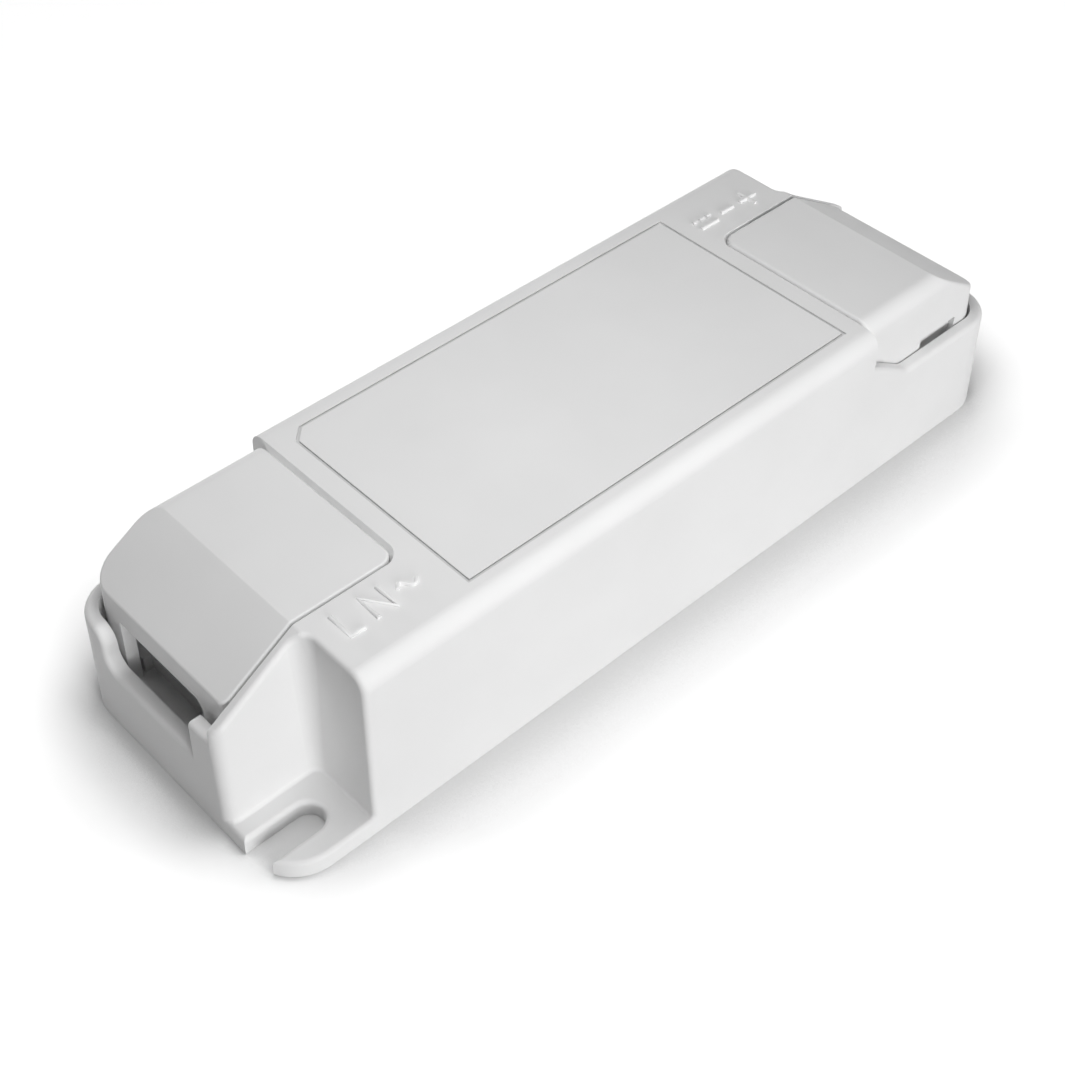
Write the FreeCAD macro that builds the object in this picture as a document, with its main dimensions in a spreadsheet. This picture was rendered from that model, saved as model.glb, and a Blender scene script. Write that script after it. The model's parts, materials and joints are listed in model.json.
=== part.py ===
import FreeCAD, Part

import math
import os

import Sketcher

# LED driver in a moulded housing: mains end at -X, output end at +X, underside on Z = 0, origin at the middle of
# the underside. The housing and its covers look the same when turned half round about Z, so each is drawn for the
# mains end and the other end is that turned round.

SIZES = {
    # housing, outside
    "overall_length": 127.4,
    "overall_width": 42.0,
    "overall_height": 25.2,
    "draft_angle": 2.0,
    "plan_radius": 6.4,
    "top_radius": 2.4,
    "wall": 1.8,
    "roof": 1.8,
    "rim_edge_radius": 0.7,
    "notch_rim_radius": 0.7,
    "hollow_step": 0.6,
    "tray_step": 0.1,
    # how far a joined form reaches into its neighbour, and the play between faces that only rest together
    "overlap": 0.3,
    "face_gap": 0.05,
    # raised middle, end bays and rims
    "bay_length": 28.8,
    "bay_edge": 8.5,
    "partition": 2.0,
    "slope_step": 0.4,
    "slope_foot": 1.75,
    "rim_height": 15.3,
    "rim_ramp_drop": 4.9,
    "rim_ramp_angle": 32.0,
    "rim_ramp_radius": 3.0,
    "bay_corner_radius": 3.9,
    "sill_depth": 5.7,
    "sill_offset": 0.8,
    "sill_margin": 10.4,
    "sill_radius": 2.2,
    "sill_step_radius": 0.8,
    # ears
    "ear_length": 12.7,
    "ear_thickness": 2.4,
    "ear_edge_radius": 0.6,
    "notch_foot_radius": 0.5,
    "notch_radius": 1.3,
    "notch_edge_radius": 1.6,
    "slot_width": 4.3,
    "slot_edge": 5.65,
    "slot_reach": 9.4,
    # label outline on the top
    "label_end_gap": 2.5,
    "label_side_gap": 4.25,
    "label_corner": 2.0,
    "label_line": 0.45,
    "label_depth": 0.3,
    # shelf in the end bay
    "shelf_height": 7.3,
    "groove_floor": 4.9,
    "groove_width": 2.8,
    "groove_end_gap": 1.2,
    "drip_width": 1.1,
    "drip_end_gap": 0.5,
    "shelf_skin": 1.6,
    "core_step": 0.25,
    "grip_rib_height": 1.2,
    "grip_rib_width": 1.2,
    "grip_rib_spacing": 2.6,
    # terminal covers
    "cover_wall": 1.65,
    "cover_plan_radius": 3.5,
    "cover_rear_radius": 2.0,
    "cover_near_radius": 1.2,
    "cover_edge_radius": 0.45,
    "cover_side_gap": 0.3,
    "cover_rear_gap": 0.8,
    "cover_end_gap": 0.8,
    "cover_rim_gap": 0.2,
    "cover_foot_gap": 0.25,
    "window_top": 15.8,
    "window_near": 0.4,
    "window_far": 0.1,
    "window_radius": 1.6,
    "latch_setback": 12.25,
    "latch_pocket_width": 7.5,
    "latch_pocket_top": 16.75,
    "latch_pocket_foot": 10.8,
    "latch_pocket_depth": 0.9,
    "latch_width": 5.0,
    "latch_height": 1.4,
    "latch_gap": 0.3,
    "latch_reach": 0.7,
    "tongue_width": 4.0,
    "tongue_thickness": 1.2,
    "tongue_height": 12.4,
    "tongue_reach": 1.9,
    "tongue_spacing": 12.0,
    "tongue_gap": 0.25,
    # bottom plate, its screws and the board
    "plate_thickness": 1.6,
    "plate_gap": 0.15,
    "plate_lip": 1.0,
    "film_thickness": 0.3,
    "film_inset": 1.0,
    "board_underside": 3.4,
    "board_thickness": 1.6,
    "board_gap": 0.4,
    "board_clearance": 0.3,
    "post_setback": 3.3,
    "post_inset": 4.9,
    "post_diameter": 5.6,
    "screw_diameter": 2.5,
    "screw_gap": 0.05,
    "hole_gap": 0.25,
    "screw_head": 5.2,
    "head_gap": 0.1,
    "screw_length": 11.0,
    # cable clamps
    "clamp_setback": 10.5,
    "clamp_margin": 10.4,
    "clamp_post_diameter": 4.4,
    "clamp_width": 5.0,
    "clamp_thickness": 2.6,
    "clamp_lift": 6.9,
    "clamp_screw_head": 4.6,
    "clamp_head_height": 1.8,
    "clamp_screw_length": 9.0,
    # terminal blocks
    "terminal_front_gap": 2.4,
    "terminal_back_gap": 2.9,
    "terminal_back_wall": 3.4,
    "terminal_side_wall": 0.5,
    "terminal_height": 10.4,
    "terminal_pitch": 5.0,
    "cage_width": 3.6,
    "cage_height": 5.0,
    "cage_lift": 1.0,
    "cage_setback": 0.5,
    "cage_sheet": 0.5,
    "cage_tail_width": 1.0,
    "cage_tail_thickness": 0.8,
    "cage_gap": 0.1,
    "terminal_screw": 2.4,
    "terminal_screw_head": 3.4,
    "terminal_head_height": 1.8,
    "terminal_head_lift": 0.9,
    "well_gap": 0.2,
    # room that the circuit below is laid out for
    "circuit_half_length": 33.1,
    "circuit_half_width": 19.2,
    "circuit_headroom": 18.4,
    # leads
    "lead_width": 0.8,
    "thin_lead_width": 0.6,
    "lead_reach": 1.2,
    "body_lift": 0.4,
    # mains side of the circuit
    "fuse_x": -25.5,
    "fuse_y": -8.6,
    "fuse_diameter": 4.8,
    "fuse_length": 11.0,
    "varistor_x": -21.0,
    "varistor_y": 15.2,
    "varistor_diameter": 10.0,
    "varistor_thickness": 4.2,
    "filter_capacitor_x": -18.4,
    "filter_capacitor_y": -14.9,
    "filter_capacitor_length": 13.0,
    "filter_capacitor_width": 6.0,
    "filter_capacitor_height": 12.0,
    "filter_capacitor_pitch": 10.0,
    "choke_x": -22.6,
    "choke_y": 4.0,
    "choke_outer": 13.0,
    "choke_inner": 7.0,
    "choke_core_height": 5.0,
    "choke_wire": 1.2,
    "choke_gap": 0.05,
    "bridge_x": -10.6,
    "bridge_y": 13.2,
    "bridge_length": 8.0,
    "bridge_width": 6.2,
    "bridge_height": 3.2,
    "bridge_pitch": 5.1,
    "bulk_x": 0.1,
    "bulk_y": -11.3,
    "bulk_diameter": 12.5,
    "bulk_length": 20.0,
    "bulk_pitch": 5.0,
    "bulk_groove_place": 2.6,
    "can_groove_width": 0.9,
    "can_groove_depth": 0.5,
    # switching stage
    "transformer_x": 3.6,
    "transformer_y": 6.0,
    "transformer_width": 19.0,
    "transformer_depth": 16.0,
    "transformer_height": 16.4,
    "transformer_core_depth": 5.2,
    "transformer_leg": 5.0,
    "bobbin_base": 3.0,
    "bobbin_wall": 0.8,
    "bobbin_gap": 0.1,
    "bobbin_top_inset": 3.0,
    "bobbin_foot_inset": 2.0,
    "coil_inset": 0.3,
    "controller_x": -10.0,
    "controller_y": 5.0,
    "controller_length": 5.0,
    "controller_width": 3.9,
    "controller_height": 1.7,
    "controller_pitch": 1.27,
    "resistor_x": -10.0,
    "resistor_y": -1.4,
    "resistor_diameter": 2.4,
    "resistor_length": 7.0,
    "resistor_spacing": 2.9,
    "transistor_x": 16.9,
    "transistor_y": -10.3,
    "transistor_width": 10.0,
    "transistor_length": 14.0,
    "transistor_thickness": 4.4,
    "transistor_body": 8.6,
    "transistor_lift": 2.6,
    "transistor_tab": 1.3,
    "transistor_hole": 3.6,
    "transistor_hole_place": 2.8,
    "transistor_pitch": 2.54,
    # output side
    "safety_x": 18.7,
    "safety_y": 0.2,
    "safety_diameter": 8.0,
    "safety_thickness": 3.8,
    "disc_pitch": 5.0,
    "disc_lift": 1.5,
    "coupler_x": 18.2,
    "coupler_y": 7.2,
    "coupler_length": 4.6,
    "coupler_width": 4.4,
    "coupler_height": 3.4,
    "coupler_pitch": 2.54,
    "diode_x": 19.6,
    "diode_y": 13.9,
    "diode_width": 6.6,
    "diode_length": 9.6,
    "diode_body": 6.0,
    "diode_thickness": 2.4,
    "diode_tab": 0.5,
    "diode_pitch": 4.6,
    "output_capacitor_x": 26.8,
    "output_capacitor_y": -4.4,
    "output_capacitor_gap": 0.6,
    "output_capacitor_diameter": 8.0,
    "output_capacitor_length": 14.0,
    "output_groove_place": 1.6,
    "inductor_x": 28.0,
    "inductor_y": 8.3,
    "inductor_diameter": 7.0,
    "inductor_height": 8.0,
    "inductor_flange": 1.2,
    "inductor_waist_depth": 0.5,
}

# places worked out from the sizes, as expressions over the sheet
END = "(dim.overall_length / 2)"
SIDE = "(dim.overall_width / 2)"
TOP = "dim.overall_height"
LEAN = "tan(dim.draft_angle * 1 deg)"
RAMP = "tan(dim.rim_ramp_angle * 1 deg)"
BAY_END = f"({END} - dim.wall - {LEAN} * dim.rim_height)"
BAY_SIDE = f"({SIDE} - dim.wall - {LEAN} * dim.rim_height)"
CROSS_WALL = f"({END} - dim.ear_length)"
TRAY_END = f"({CROSS_WALL} - dim.wall)"
TRAY_SIDE = f"({SIDE} - dim.wall)"
NOTCH_SIDE = "(dim.bay_edge + dim.partition)"
MIDDLE = f"({END} - dim.bay_length)"
SLOPE_START = f"({CROSS_WALL} - {LEAN} * {TOP} + dim.slope_step)"
FALL = f"(({TOP} - dim.rim_height - dim.slope_foot) / ({END} - {SLOPE_START}))"
RAMP_TOP = f"({TOP} - dim.rim_ramp_drop)"
SILL_HEIGHT = "(dim.rim_height - dim.sill_depth)"
BULKHEAD_BACK = f"({MIDDLE} - dim.wall)"
BOARD_TOP = "(dim.board_underside + dim.board_thickness)"
BOARD_ROOM = f"({BOARD_TOP} + dim.board_clearance)"
CEILING = f"({TOP} - dim.roof)"
BEYOND = "5"
PAST = "1"
POST_X = f"({BULKHEAD_BACK} - dim.post_setback)"
SCREW_Y = f"({SIDE} - dim.post_inset)"
CLAMP_X = f"({END} - dim.clamp_setback)"
LATCH_X = f"({END} - dim.latch_setback)"
BAY_MIDDLE = f"(({BAY_SIDE} - dim.bay_edge) / 2 - dim.sill_offset)"
BAY_WIDTH = f"({BAY_SIDE} + dim.bay_edge)"
SILL_WIDTH = f"({BAY_WIDTH} - dim.sill_margin)"
SILL_LOW = f"({BAY_MIDDLE} - {SILL_WIDTH} / 2)"
SILL_HIGH = f"({BAY_MIDDLE} + {SILL_WIDTH} / 2)"
WINDOW_LOW = f"({SILL_LOW} + dim.window_near)"
WINDOW_HIGH = f"({SILL_HIGH} - dim.window_far)"
CLAMP_SPACING = f"({BAY_WIDTH} - dim.clamp_margin)"
HOLLOW_SIDE = f"({TRAY_SIDE} - dim.hollow_step)"
BOARD_SIDE = f"({TRAY_SIDE} - dim.tray_step)"
CLAMP_UNDER = "(dim.shelf_height + dim.clamp_lift)"
SHELF_ROOM = "(dim.shelf_height + dim.cover_foot_gap)"
TERMINAL_BACK = f"({MIDDLE} + dim.terminal_back_gap)"
TERMINAL_FRONT = f"({TRAY_END} - dim.terminal_front_gap)"
CAGE_DEPTH = f"({TERMINAL_FRONT} - {TERMINAL_BACK} - dim.terminal_back_wall)"
CAGE_X = f"({TERMINAL_FRONT} - dim.cage_setback - {CAGE_DEPTH} / 2)"
CAGE_LOW = f"({BOARD_TOP} + dim.cage_lift)"
CAGE_TOP = f"({CAGE_LOW} + dim.cage_height)"

# the circuit's parts keep their share of the room, and smaller ones are picked where the room is smaller
LENGTH_ROOM = f"({BULKHEAD_BACK} / dim.circuit_half_length)"
WIDTH_ROOM = f"({TRAY_SIDE} / dim.circuit_half_width)"
FIT = f"min({LENGTH_ROOM}; {WIDTH_ROOM}; ({CEILING} - {BOARD_TOP}) / dim.circuit_headroom; 1)"

AXES = {"XY_Plane": 1, "XZ_Plane": -1, "YZ_Plane": 1}


def make_sheet(doc):
    sheet = doc.addObject("Spreadsheet::Sheet", "dim")
    for row, (alias, value) in enumerate(SIZES.items(), start=1):
        sheet.set(f"A{row}", alias)
        sheet.set(f"B{row}", str(value))
        sheet.setAlias(f"B{row}", alias)
    doc.recompute()
    return sheet


def value(doc, expression):
    """Number that an expression over the sheet gives."""
    result = doc.dim.evalExpression(expression)
    return float(getattr(result, "Value", result))


def new_body(doc, name):
    body = doc.addObject("PartDesign::Body", name)
    body.Label = name
    return body


def sketch_on(body, plane, at, name):
    """Empty sketch parallel to an origin plane of its body, at a place along that plane's axis."""
    sketch = body.newObject("Sketcher::SketchObject", name)
    face = next(f for f in body.Origin.OriginFeatures if f.Role == plane)
    sketch.AttachmentSupport = [(face, "")]
    sketch.MapMode = "FlatFace"
    if at is not None:
        sign = "" if AXES[plane] > 0 else "-"
        sketch.setExpression("AttachmentOffset.Base.z", f"{sign}({at})")
    return sketch


def add_polygon(doc, sketch, points):
    """Closed outline through (u, v) expressions; a third entry rounds that square corner by a radius."""
    places = [(value(doc, point[0]), value(doc, point[1])) for point in points]
    count = len(points)
    ends = []
    arcs = []
    for i, point in enumerate(points):
        if len(point) == 2:
            ends.append((point, point))
            arcs.append(None)
            continue
        u, v, radius = point
        sides = []
        for j in (i - 1, (i + 1) % count):
            step_u = places[j][0] - places[i][0]
            step_v = places[j][1] - places[i][1]
            length = math.hypot(step_u, step_v)
            sides.append((round(step_u / length), round(step_v / length)))
        ends.append(tuple((f"({u}) + ({radius}) * {a}", f"({v}) + ({radius}) * {b}") for a, b in sides))
        arcs.append((sides, radius))
    lines = []
    for i in range(count):
        start = ends[i][1]
        stop = ends[(i + 1) % count][0]
        line = sketch.addGeometry(Part.LineSegment(place_of(doc, start), place_of(doc, stop)))
        lines.append(line)
        for kind, expression in (("DistanceX", start[0]), ("DistanceY", start[1])):
            bind_number(doc, sketch, (kind, -1, 1, line, 1), expression)
    for i in range(count):
        before = lines[i - 1]
        after = lines[i]
        if arcs[i] is None:
            sketch.addConstraint(Sketcher.Constraint("Coincident", before, 2, after, 1))
            continue
        sides, radius = arcs[i]
        for kind, expression in (("DistanceX", ends[i][0][0]), ("DistanceY", ends[i][0][1])):
            bind_number(doc, sketch, (kind, -1, 1, before, 2), expression)
        size = value(doc, radius)
        corner = FreeCAD.Vector(*places[i], 0)
        inward = FreeCAD.Vector(*sides[0], 0) + FreeCAD.Vector(*sides[1], 0)
        centre = corner + inward * size
        start = place_of(doc, ends[i][0]) - centre
        stop = place_of(doc, ends[i][1]) - centre
        anticlockwise = start.cross(stop).z > 0
        low = start if anticlockwise else stop
        angle = math.atan2(low.y, low.x)
        circle = Part.Circle(centre, FreeCAD.Vector(0, 0, 1), size)
        index = sketch.addGeometry(Part.ArcOfCircle(circle, angle, angle + math.pi / 2))
        first, last = (1, 2) if anticlockwise else (2, 1)
        sketch.addConstraint(Sketcher.Constraint("Coincident", before, 2, index, first))
        sketch.addConstraint(Sketcher.Constraint("Coincident", index, last, after, 1))
        bind_number(doc, sketch, ("Radius", index), radius)


def place_of(doc, pair):
    return FreeCAD.Vector(value(doc, pair[0]), value(doc, pair[1]), 0)


def bind_number(doc, sketch, targets, expression):
    """Constraint whose number follows an expression."""
    number = sketch.addConstraint(Sketcher.Constraint(*targets, value(doc, expression)))
    sketch.setExpression(f"Constraints[{number}]", expression)


def add_circle(doc, sketch, u, v, radius):
    index = sketch.addGeometry(Part.Circle(place_of(doc, (u, v)), FreeCAD.Vector(0, 0, 1), value(doc, radius)))
    bind_number(doc, sketch, ("DistanceX", -1, 1, index, 3), u)
    bind_number(doc, sketch, ("DistanceY", -1, 1, index, 3), v)
    bind_number(doc, sketch, ("Radius", index), radius)


def corners(low_u, high_u, low_v, high_v):
    return [(low_u, low_v), (high_u, low_v), (high_u, high_v), (low_u, high_v)]


def finish_feature(doc, body, feature):
    body.Tip = feature
    doc.recompute()
    if "Invalid" in feature.State or feature.Shape.isNull():
        raise RuntimeError(f"{feature.Name} in {body.Label} failed: {feature.State}")
    return feature


def add_prism(doc, body, name, plane, low, high, polygons=(), circles=(), taper=None, cut=False, from_high=False):
    """Pad or pocket between two places along a plane's axis; a taper widens it away from where it starts."""
    start = high if from_high else low
    sketch = sketch_on(body, plane, start, f"{name}_sketch")
    for polygon in polygons:
        add_polygon(doc, sketch, polygon)
    for circle in circles:
        add_circle(doc, sketch, *circle)
    doc.recompute()
    before = body.Shape.Volume if cut else 0.0
    feature = body.newObject("PartDesign::Pocket" if cut else "PartDesign::Pad", name)
    feature.Profile = sketch
    feature.setExpression("Length", f"({high}) - ({low})")
    upward = not from_high
    along_normal = upward == (AXES[plane] > 0)
    feature.Reversed = along_normal if cut else not along_normal
    if taper:
        feature.setExpression("TaperAngle", taper)
    finish_feature(doc, body, feature)
    if cut and before - body.Shape.Volume < 1e-3:
        raise RuntimeError(f"{name} in {body.Label} cuts nothing")
    return feature


def add_cut(doc, body, name, plane, low, high, polygons=(), circles=(), taper=None, from_high=False):
    return add_prism(doc, body, name, plane, low, high, polygons, circles, taper, True, from_high)


def edges_where(shape, test):
    return [f"Edge{i}" for i, edge in enumerate(shape.Edges, start=1) if test(edge)]


def add_fillet(doc, body, name, radius, test):
    """Rounds the edges of the body that pass the test."""
    names = edges_where(body.Shape, test)
    if not names:
        raise RuntimeError(f"{name} in {body.Label} finds no edge")
    base = body.Tip
    feature = body.newObject("PartDesign::Fillet", name)
    feature.Base = (base, names)
    feature.setExpression("Radius", radius)
    return finish_feature(doc, body, feature)


def add_draft(doc, body, name, test):
    """Leans faces by the mould's draft about the underside, so that the body narrows upwards."""
    base = body.Tip
    names = [f"Face{i}" for i, face in enumerate(body.Shape.Faces, start=1) if test(face)]
    if not names:
        raise RuntimeError(f"{name} in {body.Label} finds no face")
    feature = body.newObject("PartDesign::Draft", name)
    feature.Base = (base, names)
    feature.NeutralPlane = (next(f for f in body.Origin.OriginFeatures if f.Role == "XY_Plane"), [""])
    feature.setExpression("Angle", "dim.draft_angle")
    return finish_feature(doc, body, feature)


def is_wall(face):
    """True for a face that stands upright, flat or round."""
    low_u, high_u, low_v, high_v = face.ParameterRange
    return abs(face.normalAt((low_u + high_u) / 2, (low_v + high_v) / 2).z) < 0.01


def box_of(edge):
    """Lowest and highest corner of an edge or face."""
    box = edge.BoundBox
    return (box.XMin, box.YMin, box.ZMin), (box.XMax, box.YMax, box.ZMax)


def near(number, target, tolerance=0.02):
    return abs(number - target) < tolerance


def upright(edge):
    low, high = box_of(edge)
    return high[2] - low[2] > 5 * max(high[0] - low[0], high[1] - low[1])


def turn_round(obj):
    """Turns a finished piece half round, from the mains end to the output end."""
    obj.Placement = FreeCAD.Placement(FreeCAD.Vector(0, 0, 0), FreeCAD.Rotation(FreeCAD.Vector(0, 0, 1), 180))


def shape_housing_block(doc, body):
    """Leaning block with rounded corners and top edge, kept on the mains side of the middle."""
    radius = "dim.plan_radius"
    add_prism(doc, body, "block", "XY_Plane", "0", TOP,
              [[(f"-{END}", f"-{SIDE}", radius), (END, f"-{SIDE}", radius), (END, SIDE, radius),
                (f"-{END}", SIDE, radius)]])
    add_draft(doc, body, "block_draft", is_wall)
    top = value(doc, TOP)
    add_fillet(doc, body, "top_edge", "dim.top_radius", lambda edge: near(box_of(edge)[0][2], top))
    add_cut(doc, body, "half", "XY_Plane", f"-{BEYOND}", f"{TOP} + {BEYOND}",
            [corners("0", f"{END} + {BEYOND}", f"-{SIDE} - {BEYOND}", f"{SIDE} + {BEYOND}")])


def shape_housing_notch(doc, body):
    """Ear notch and sloping end, with their rounded edges."""
    far_x = f"-({END} + {BEYOND})"
    high_z = f"({TOP} + {BEYOND})"
    past_side = f"({SIDE} + {BEYOND})"
    add_cut(doc, body, "ear_notch", "XY_Plane", "dim.ear_thickness", high_z,
            [[(far_x, f"-{past_side}"), (f"-{CROSS_WALL}", f"-{past_side}"),
              (f"-{CROSS_WALL}", f"-{NOTCH_SIDE}", "dim.notch_radius"), (far_x, f"-{NOTCH_SIDE}")]])
    ear_z = value(doc, "dim.ear_thickness")
    end_x = value(doc, f"-{END}")
    cross_x = value(doc, f"-{CROSS_WALL}")
    notch_y = value(doc, f"-{NOTCH_SIDE}")

    def notch_wall(face):
        low, high = box_of(face)
        return is_wall(face) and low[2] > ear_z - 0.1 and high[0] < cross_x + 0.1 and high[1] < notch_y + 0.1

    add_draft(doc, body, "notch_draft", notch_wall)
    add_cut(doc, body, "slope", "XZ_Plane", f"-{past_side}", past_side,
            [[(f"-{SLOPE_START}", TOP), (f"-{SLOPE_START}", high_z), (far_x, high_z),
              (far_x, f"{TOP} - ({END} + {BEYOND} - {SLOPE_START}) * {FALL}")]])

    def outer_corner(edge):
        low, high = box_of(edge)
        return upright(edge) and near(low[2], ear_z) and near(high[0], end_x, 1.2) and near(low[1], notch_y, 1.0)

    add_fillet(doc, body, "notch_outer_corner", "dim.notch_edge_radius", outer_corner)

    def notch_rim(edge):
        low, high = box_of(edge)
        reach = value(doc, f"{LEAN} * {TOP}") + 0.1
        beside_cross = low[0] > cross_x - 0.1 and high[0] < cross_x + reach and high[1] < notch_y
        beside_side = low[1] > notch_y - 0.1 and high[1] < notch_y + reach and high[0] < cross_x
        return low[2] > ear_z + 5 and (beside_cross or beside_side)

    add_fillet(doc, body, "notch_rim", "dim.notch_rim_radius", notch_rim)

def shape_housing_ear(doc, body):
    """Open-ended screw slot along the ear, and the ear's softened upper edges."""
    slot_y = f"-({SIDE} - dim.slot_edge)"
    root = f"-({END} - dim.slot_reach + dim.slot_width / 2)"
    half = "dim.slot_width / 2"
    add_cut(doc, body, "ear_slot", "XY_Plane", f"-{PAST}", f"dim.ear_thickness + {PAST}",
            [corners(f"-({END} + {BEYOND})", root, f"{slot_y} - {half}", f"{slot_y} + {half}")])
    add_cut(doc, body, "ear_slot_root", "XY_Plane", f"-{PAST}", f"dim.ear_thickness + {PAST}",
            circles=[(root, slot_y, half)])
    ear_z = value(doc, "dim.ear_thickness")
    high_y = value(doc, f"{slot_y} + {half}")
    root_x = value(doc, f"-({END} - dim.slot_reach)")
    side_y = value(doc, f"-({SIDE} - {LEAN} * dim.ear_thickness)")
    tip_x = value(doc, f"-({END} - {LEAN} * dim.ear_thickness)")

    def ear_edge(edge):
        low, high = box_of(edge)
        level = near(low[2], ear_z) and near(high[2], ear_z)
        at_slot = high[0] < root_x + 0.1 and high[1] < high_y + 0.1
        return level and (at_slot or high[1] < side_y + 0.1 or high[0] < tip_x + 0.1)

    add_fillet(doc, body, "ear_edge", "dim.ear_edge_radius", ear_edge)
    cross_x = value(doc, f"-({CROSS_WALL} - {LEAN} * dim.ear_thickness)")
    notch_y = value(doc, f"-({NOTCH_SIDE} - {LEAN} * dim.ear_thickness)")

    def notch_foot(edge):
        low, high = box_of(edge)
        level = near(low[2], ear_z) and near(high[2], ear_z)
        return level and low[0] > tip_x + 1 and (near(high[0], cross_x, 0.1) or near(high[1], notch_y, 0.1))

    add_fillet(doc, body, "notch_foot", "dim.notch_foot_radius", notch_foot)


def shape_housing_bay(doc, body):
    """Bay opening with its ramped rim, cable sill, well over the board, shelf and groove for the cover."""
    far_x = f"-({END} + {BEYOND})"
    high_z = f"({TOP} + {BEYOND})"
    ramp_foot = f"-({MIDDLE} + ({RAMP_TOP} - dim.rim_height) / {RAMP})"
    add_cut(doc, body, "bay_opening", "XZ_Plane", "-dim.bay_edge", f"{SIDE} + {BEYOND}",
            [[(f"-{MIDDLE}", high_z), (f"-{MIDDLE}", RAMP_TOP), (ramp_foot, "dim.rim_height"),
              (far_x, "dim.rim_height"), (far_x, high_z)]])
    foot_x = value(doc, ramp_foot)
    rim_z = value(doc, "dim.rim_height")

    def ramp_bend(edge):
        low, high = box_of(edge)
        return near(low[0], foot_x) and near(high[0], foot_x) and near(low[2], rim_z) and near(high[2], rim_z)

    add_fillet(doc, body, "ramp_bend", "dim.rim_ramp_radius", ramp_bend)
    above = f"(dim.rim_height + {PAST})"
    aside = f"({SILL_LOW} - {PAST} - dim.sill_step_radius)"
    add_cut(doc, body, "cable_sill", "YZ_Plane", far_x, f"-({BAY_END} - dim.overlap)",
            [[(SILL_LOW, SILL_HEIGHT), (SILL_HIGH, SILL_HEIGHT, "dim.sill_radius"),
              (SILL_HIGH, "dim.rim_height", "dim.sill_radius"), (f"{SILL_HIGH} + {BEYOND}", "dim.rim_height"),
              (f"{SILL_HIGH} + {BEYOND}", above), (aside, above), (aside, "dim.rim_height"),
              (SILL_LOW, "dim.rim_height", "dim.sill_step_radius")]], from_high=True)
    outer_x = value(doc, f"-({END} - {LEAN} * {SILL_HEIGHT})")
    outer_y = value(doc, f"{SIDE} - {LEAN} * dim.rim_height")
    sill_z = value(doc, SILL_HEIGHT)
    bay_y = value(doc, "-dim.bay_edge")

    def rim_edge(edge):
        low, high = box_of(edge)
        on_end = high[0] < outer_x + 0.3 and low[1] > bay_y - 0.1 and low[2] > sill_z - 0.1 and high[2] < rim_z + 0.1
        return on_end or (near(low[2], rim_z) and near(high[2], rim_z) and high[1] > outer_y - 0.05)

    add_fillet(doc, body, "rim_edge", "dim.rim_edge_radius", rim_edge)
    add_cut(doc, body, "bay", "XY_Plane", "dim.shelf_height", high_z,
            [[(f"-{BAY_END}", "-dim.bay_edge"), (f"-{MIDDLE}", "-dim.bay_edge"), (f"-{MIDDLE}", BAY_SIDE),
              (f"-{BAY_END}", BAY_SIDE, "dim.bay_corner_radius")]])
    groove_back = f"-({BAY_END} - dim.groove_width)"
    add_cut(doc, body, "cover_groove", "XY_Plane", "dim.groove_floor", "dim.shelf_height",
            [corners(f"-{BAY_END}", groove_back, "-dim.bay_edge", f"{BAY_SIDE} - dim.groove_end_gap")], from_high=True)
    add_cut(doc, body, "drip_recess", "XY_Plane", "dim.groove_floor", "dim.shelf_height",
            [corners(f"{groove_back} - dim.overlap", f"{groove_back} + dim.drip_width", "-dim.bay_edge",
                     f"{WINDOW_HIGH} + dim.drip_end_gap")], from_high=True)
    add_cut(doc, body, "bay_well", "XY_Plane", "0", "dim.shelf_height",
            [corners(f"-{TRAY_END}", f"-{MIDDLE}", "-dim.bay_edge", BAY_SIDE)], from_high=True)


def shape_housing_underside(doc, body):
    """Hollow middle, tray for the board, rebate for the bottom plate and cored shelf, all open downwards."""
    past = f"{BEYOND}"
    add_cut(doc, body, "main_hollow", "XY_Plane", "0", CEILING,
            [corners(f"-{BULKHEAD_BACK}", past, f"-{HOLLOW_SIDE}", HOLLOW_SIDE)])
    add_cut(doc, body, "side_hollow", "XY_Plane", "0", CEILING,
            [corners(f"-({TRAY_END} - dim.hollow_step)", f"-({BULKHEAD_BACK} - {PAST})", f"-{HOLLOW_SIDE}",
                     f"-(dim.bay_edge + dim.wall)")])
    add_cut(doc, body, "board_tray", "XY_Plane", "0", BOARD_ROOM,
            [corners(f"-{TRAY_END}", past, f"-{BOARD_SIDE}", BOARD_SIDE)])
    rebate = plate_outline("dim.plate_lip", past)
    add_cut(doc, body, "plate_rebate", "XY_Plane", "0", "dim.plate_thickness", [rebate])
    core_low_x = f"-({END} - dim.wall - dim.core_step)"
    core_side = f"({TRAY_SIDE} - dim.core_step)"
    add_cut(doc, body, "shelf_core", "XY_Plane", "dim.plate_thickness", "dim.groove_floor - dim.shelf_skin",
            [[(core_low_x, "-dim.bay_edge"), (f"-{CROSS_WALL}", "-dim.bay_edge"), (f"-{CROSS_WALL}", core_side),
              (core_low_x, core_side, "dim.plan_radius - dim.wall")]])
    add_cut(doc, body, "shelf_core_high", "XY_Plane", "dim.plate_thickness", "dim.shelf_height - dim.shelf_skin",
            [corners(f"-({BAY_END} - dim.groove_width - dim.drip_width - dim.wall)", f"-{CROSS_WALL}",
                     "-dim.bay_edge", core_side)])


def plate_outline(inset, past):
    """Half of the bottom plate's outline, which steps in behind the ear; inset is from the housing's outside."""
    ear_x = f"-({CROSS_WALL} - {inset})"
    ear_y = f"-({NOTCH_SIDE} - {inset})"
    end_x = f"-({END} - {inset})"
    side = f"({SIDE} - {inset})"
    corner = f"dim.plan_radius - {inset}"
    return [(past, f"-{side}"), (past, side), (end_x, side, corner), (end_x, ear_y), (ear_x, ear_y),
            (ear_x, f"-{side}")]


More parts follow.
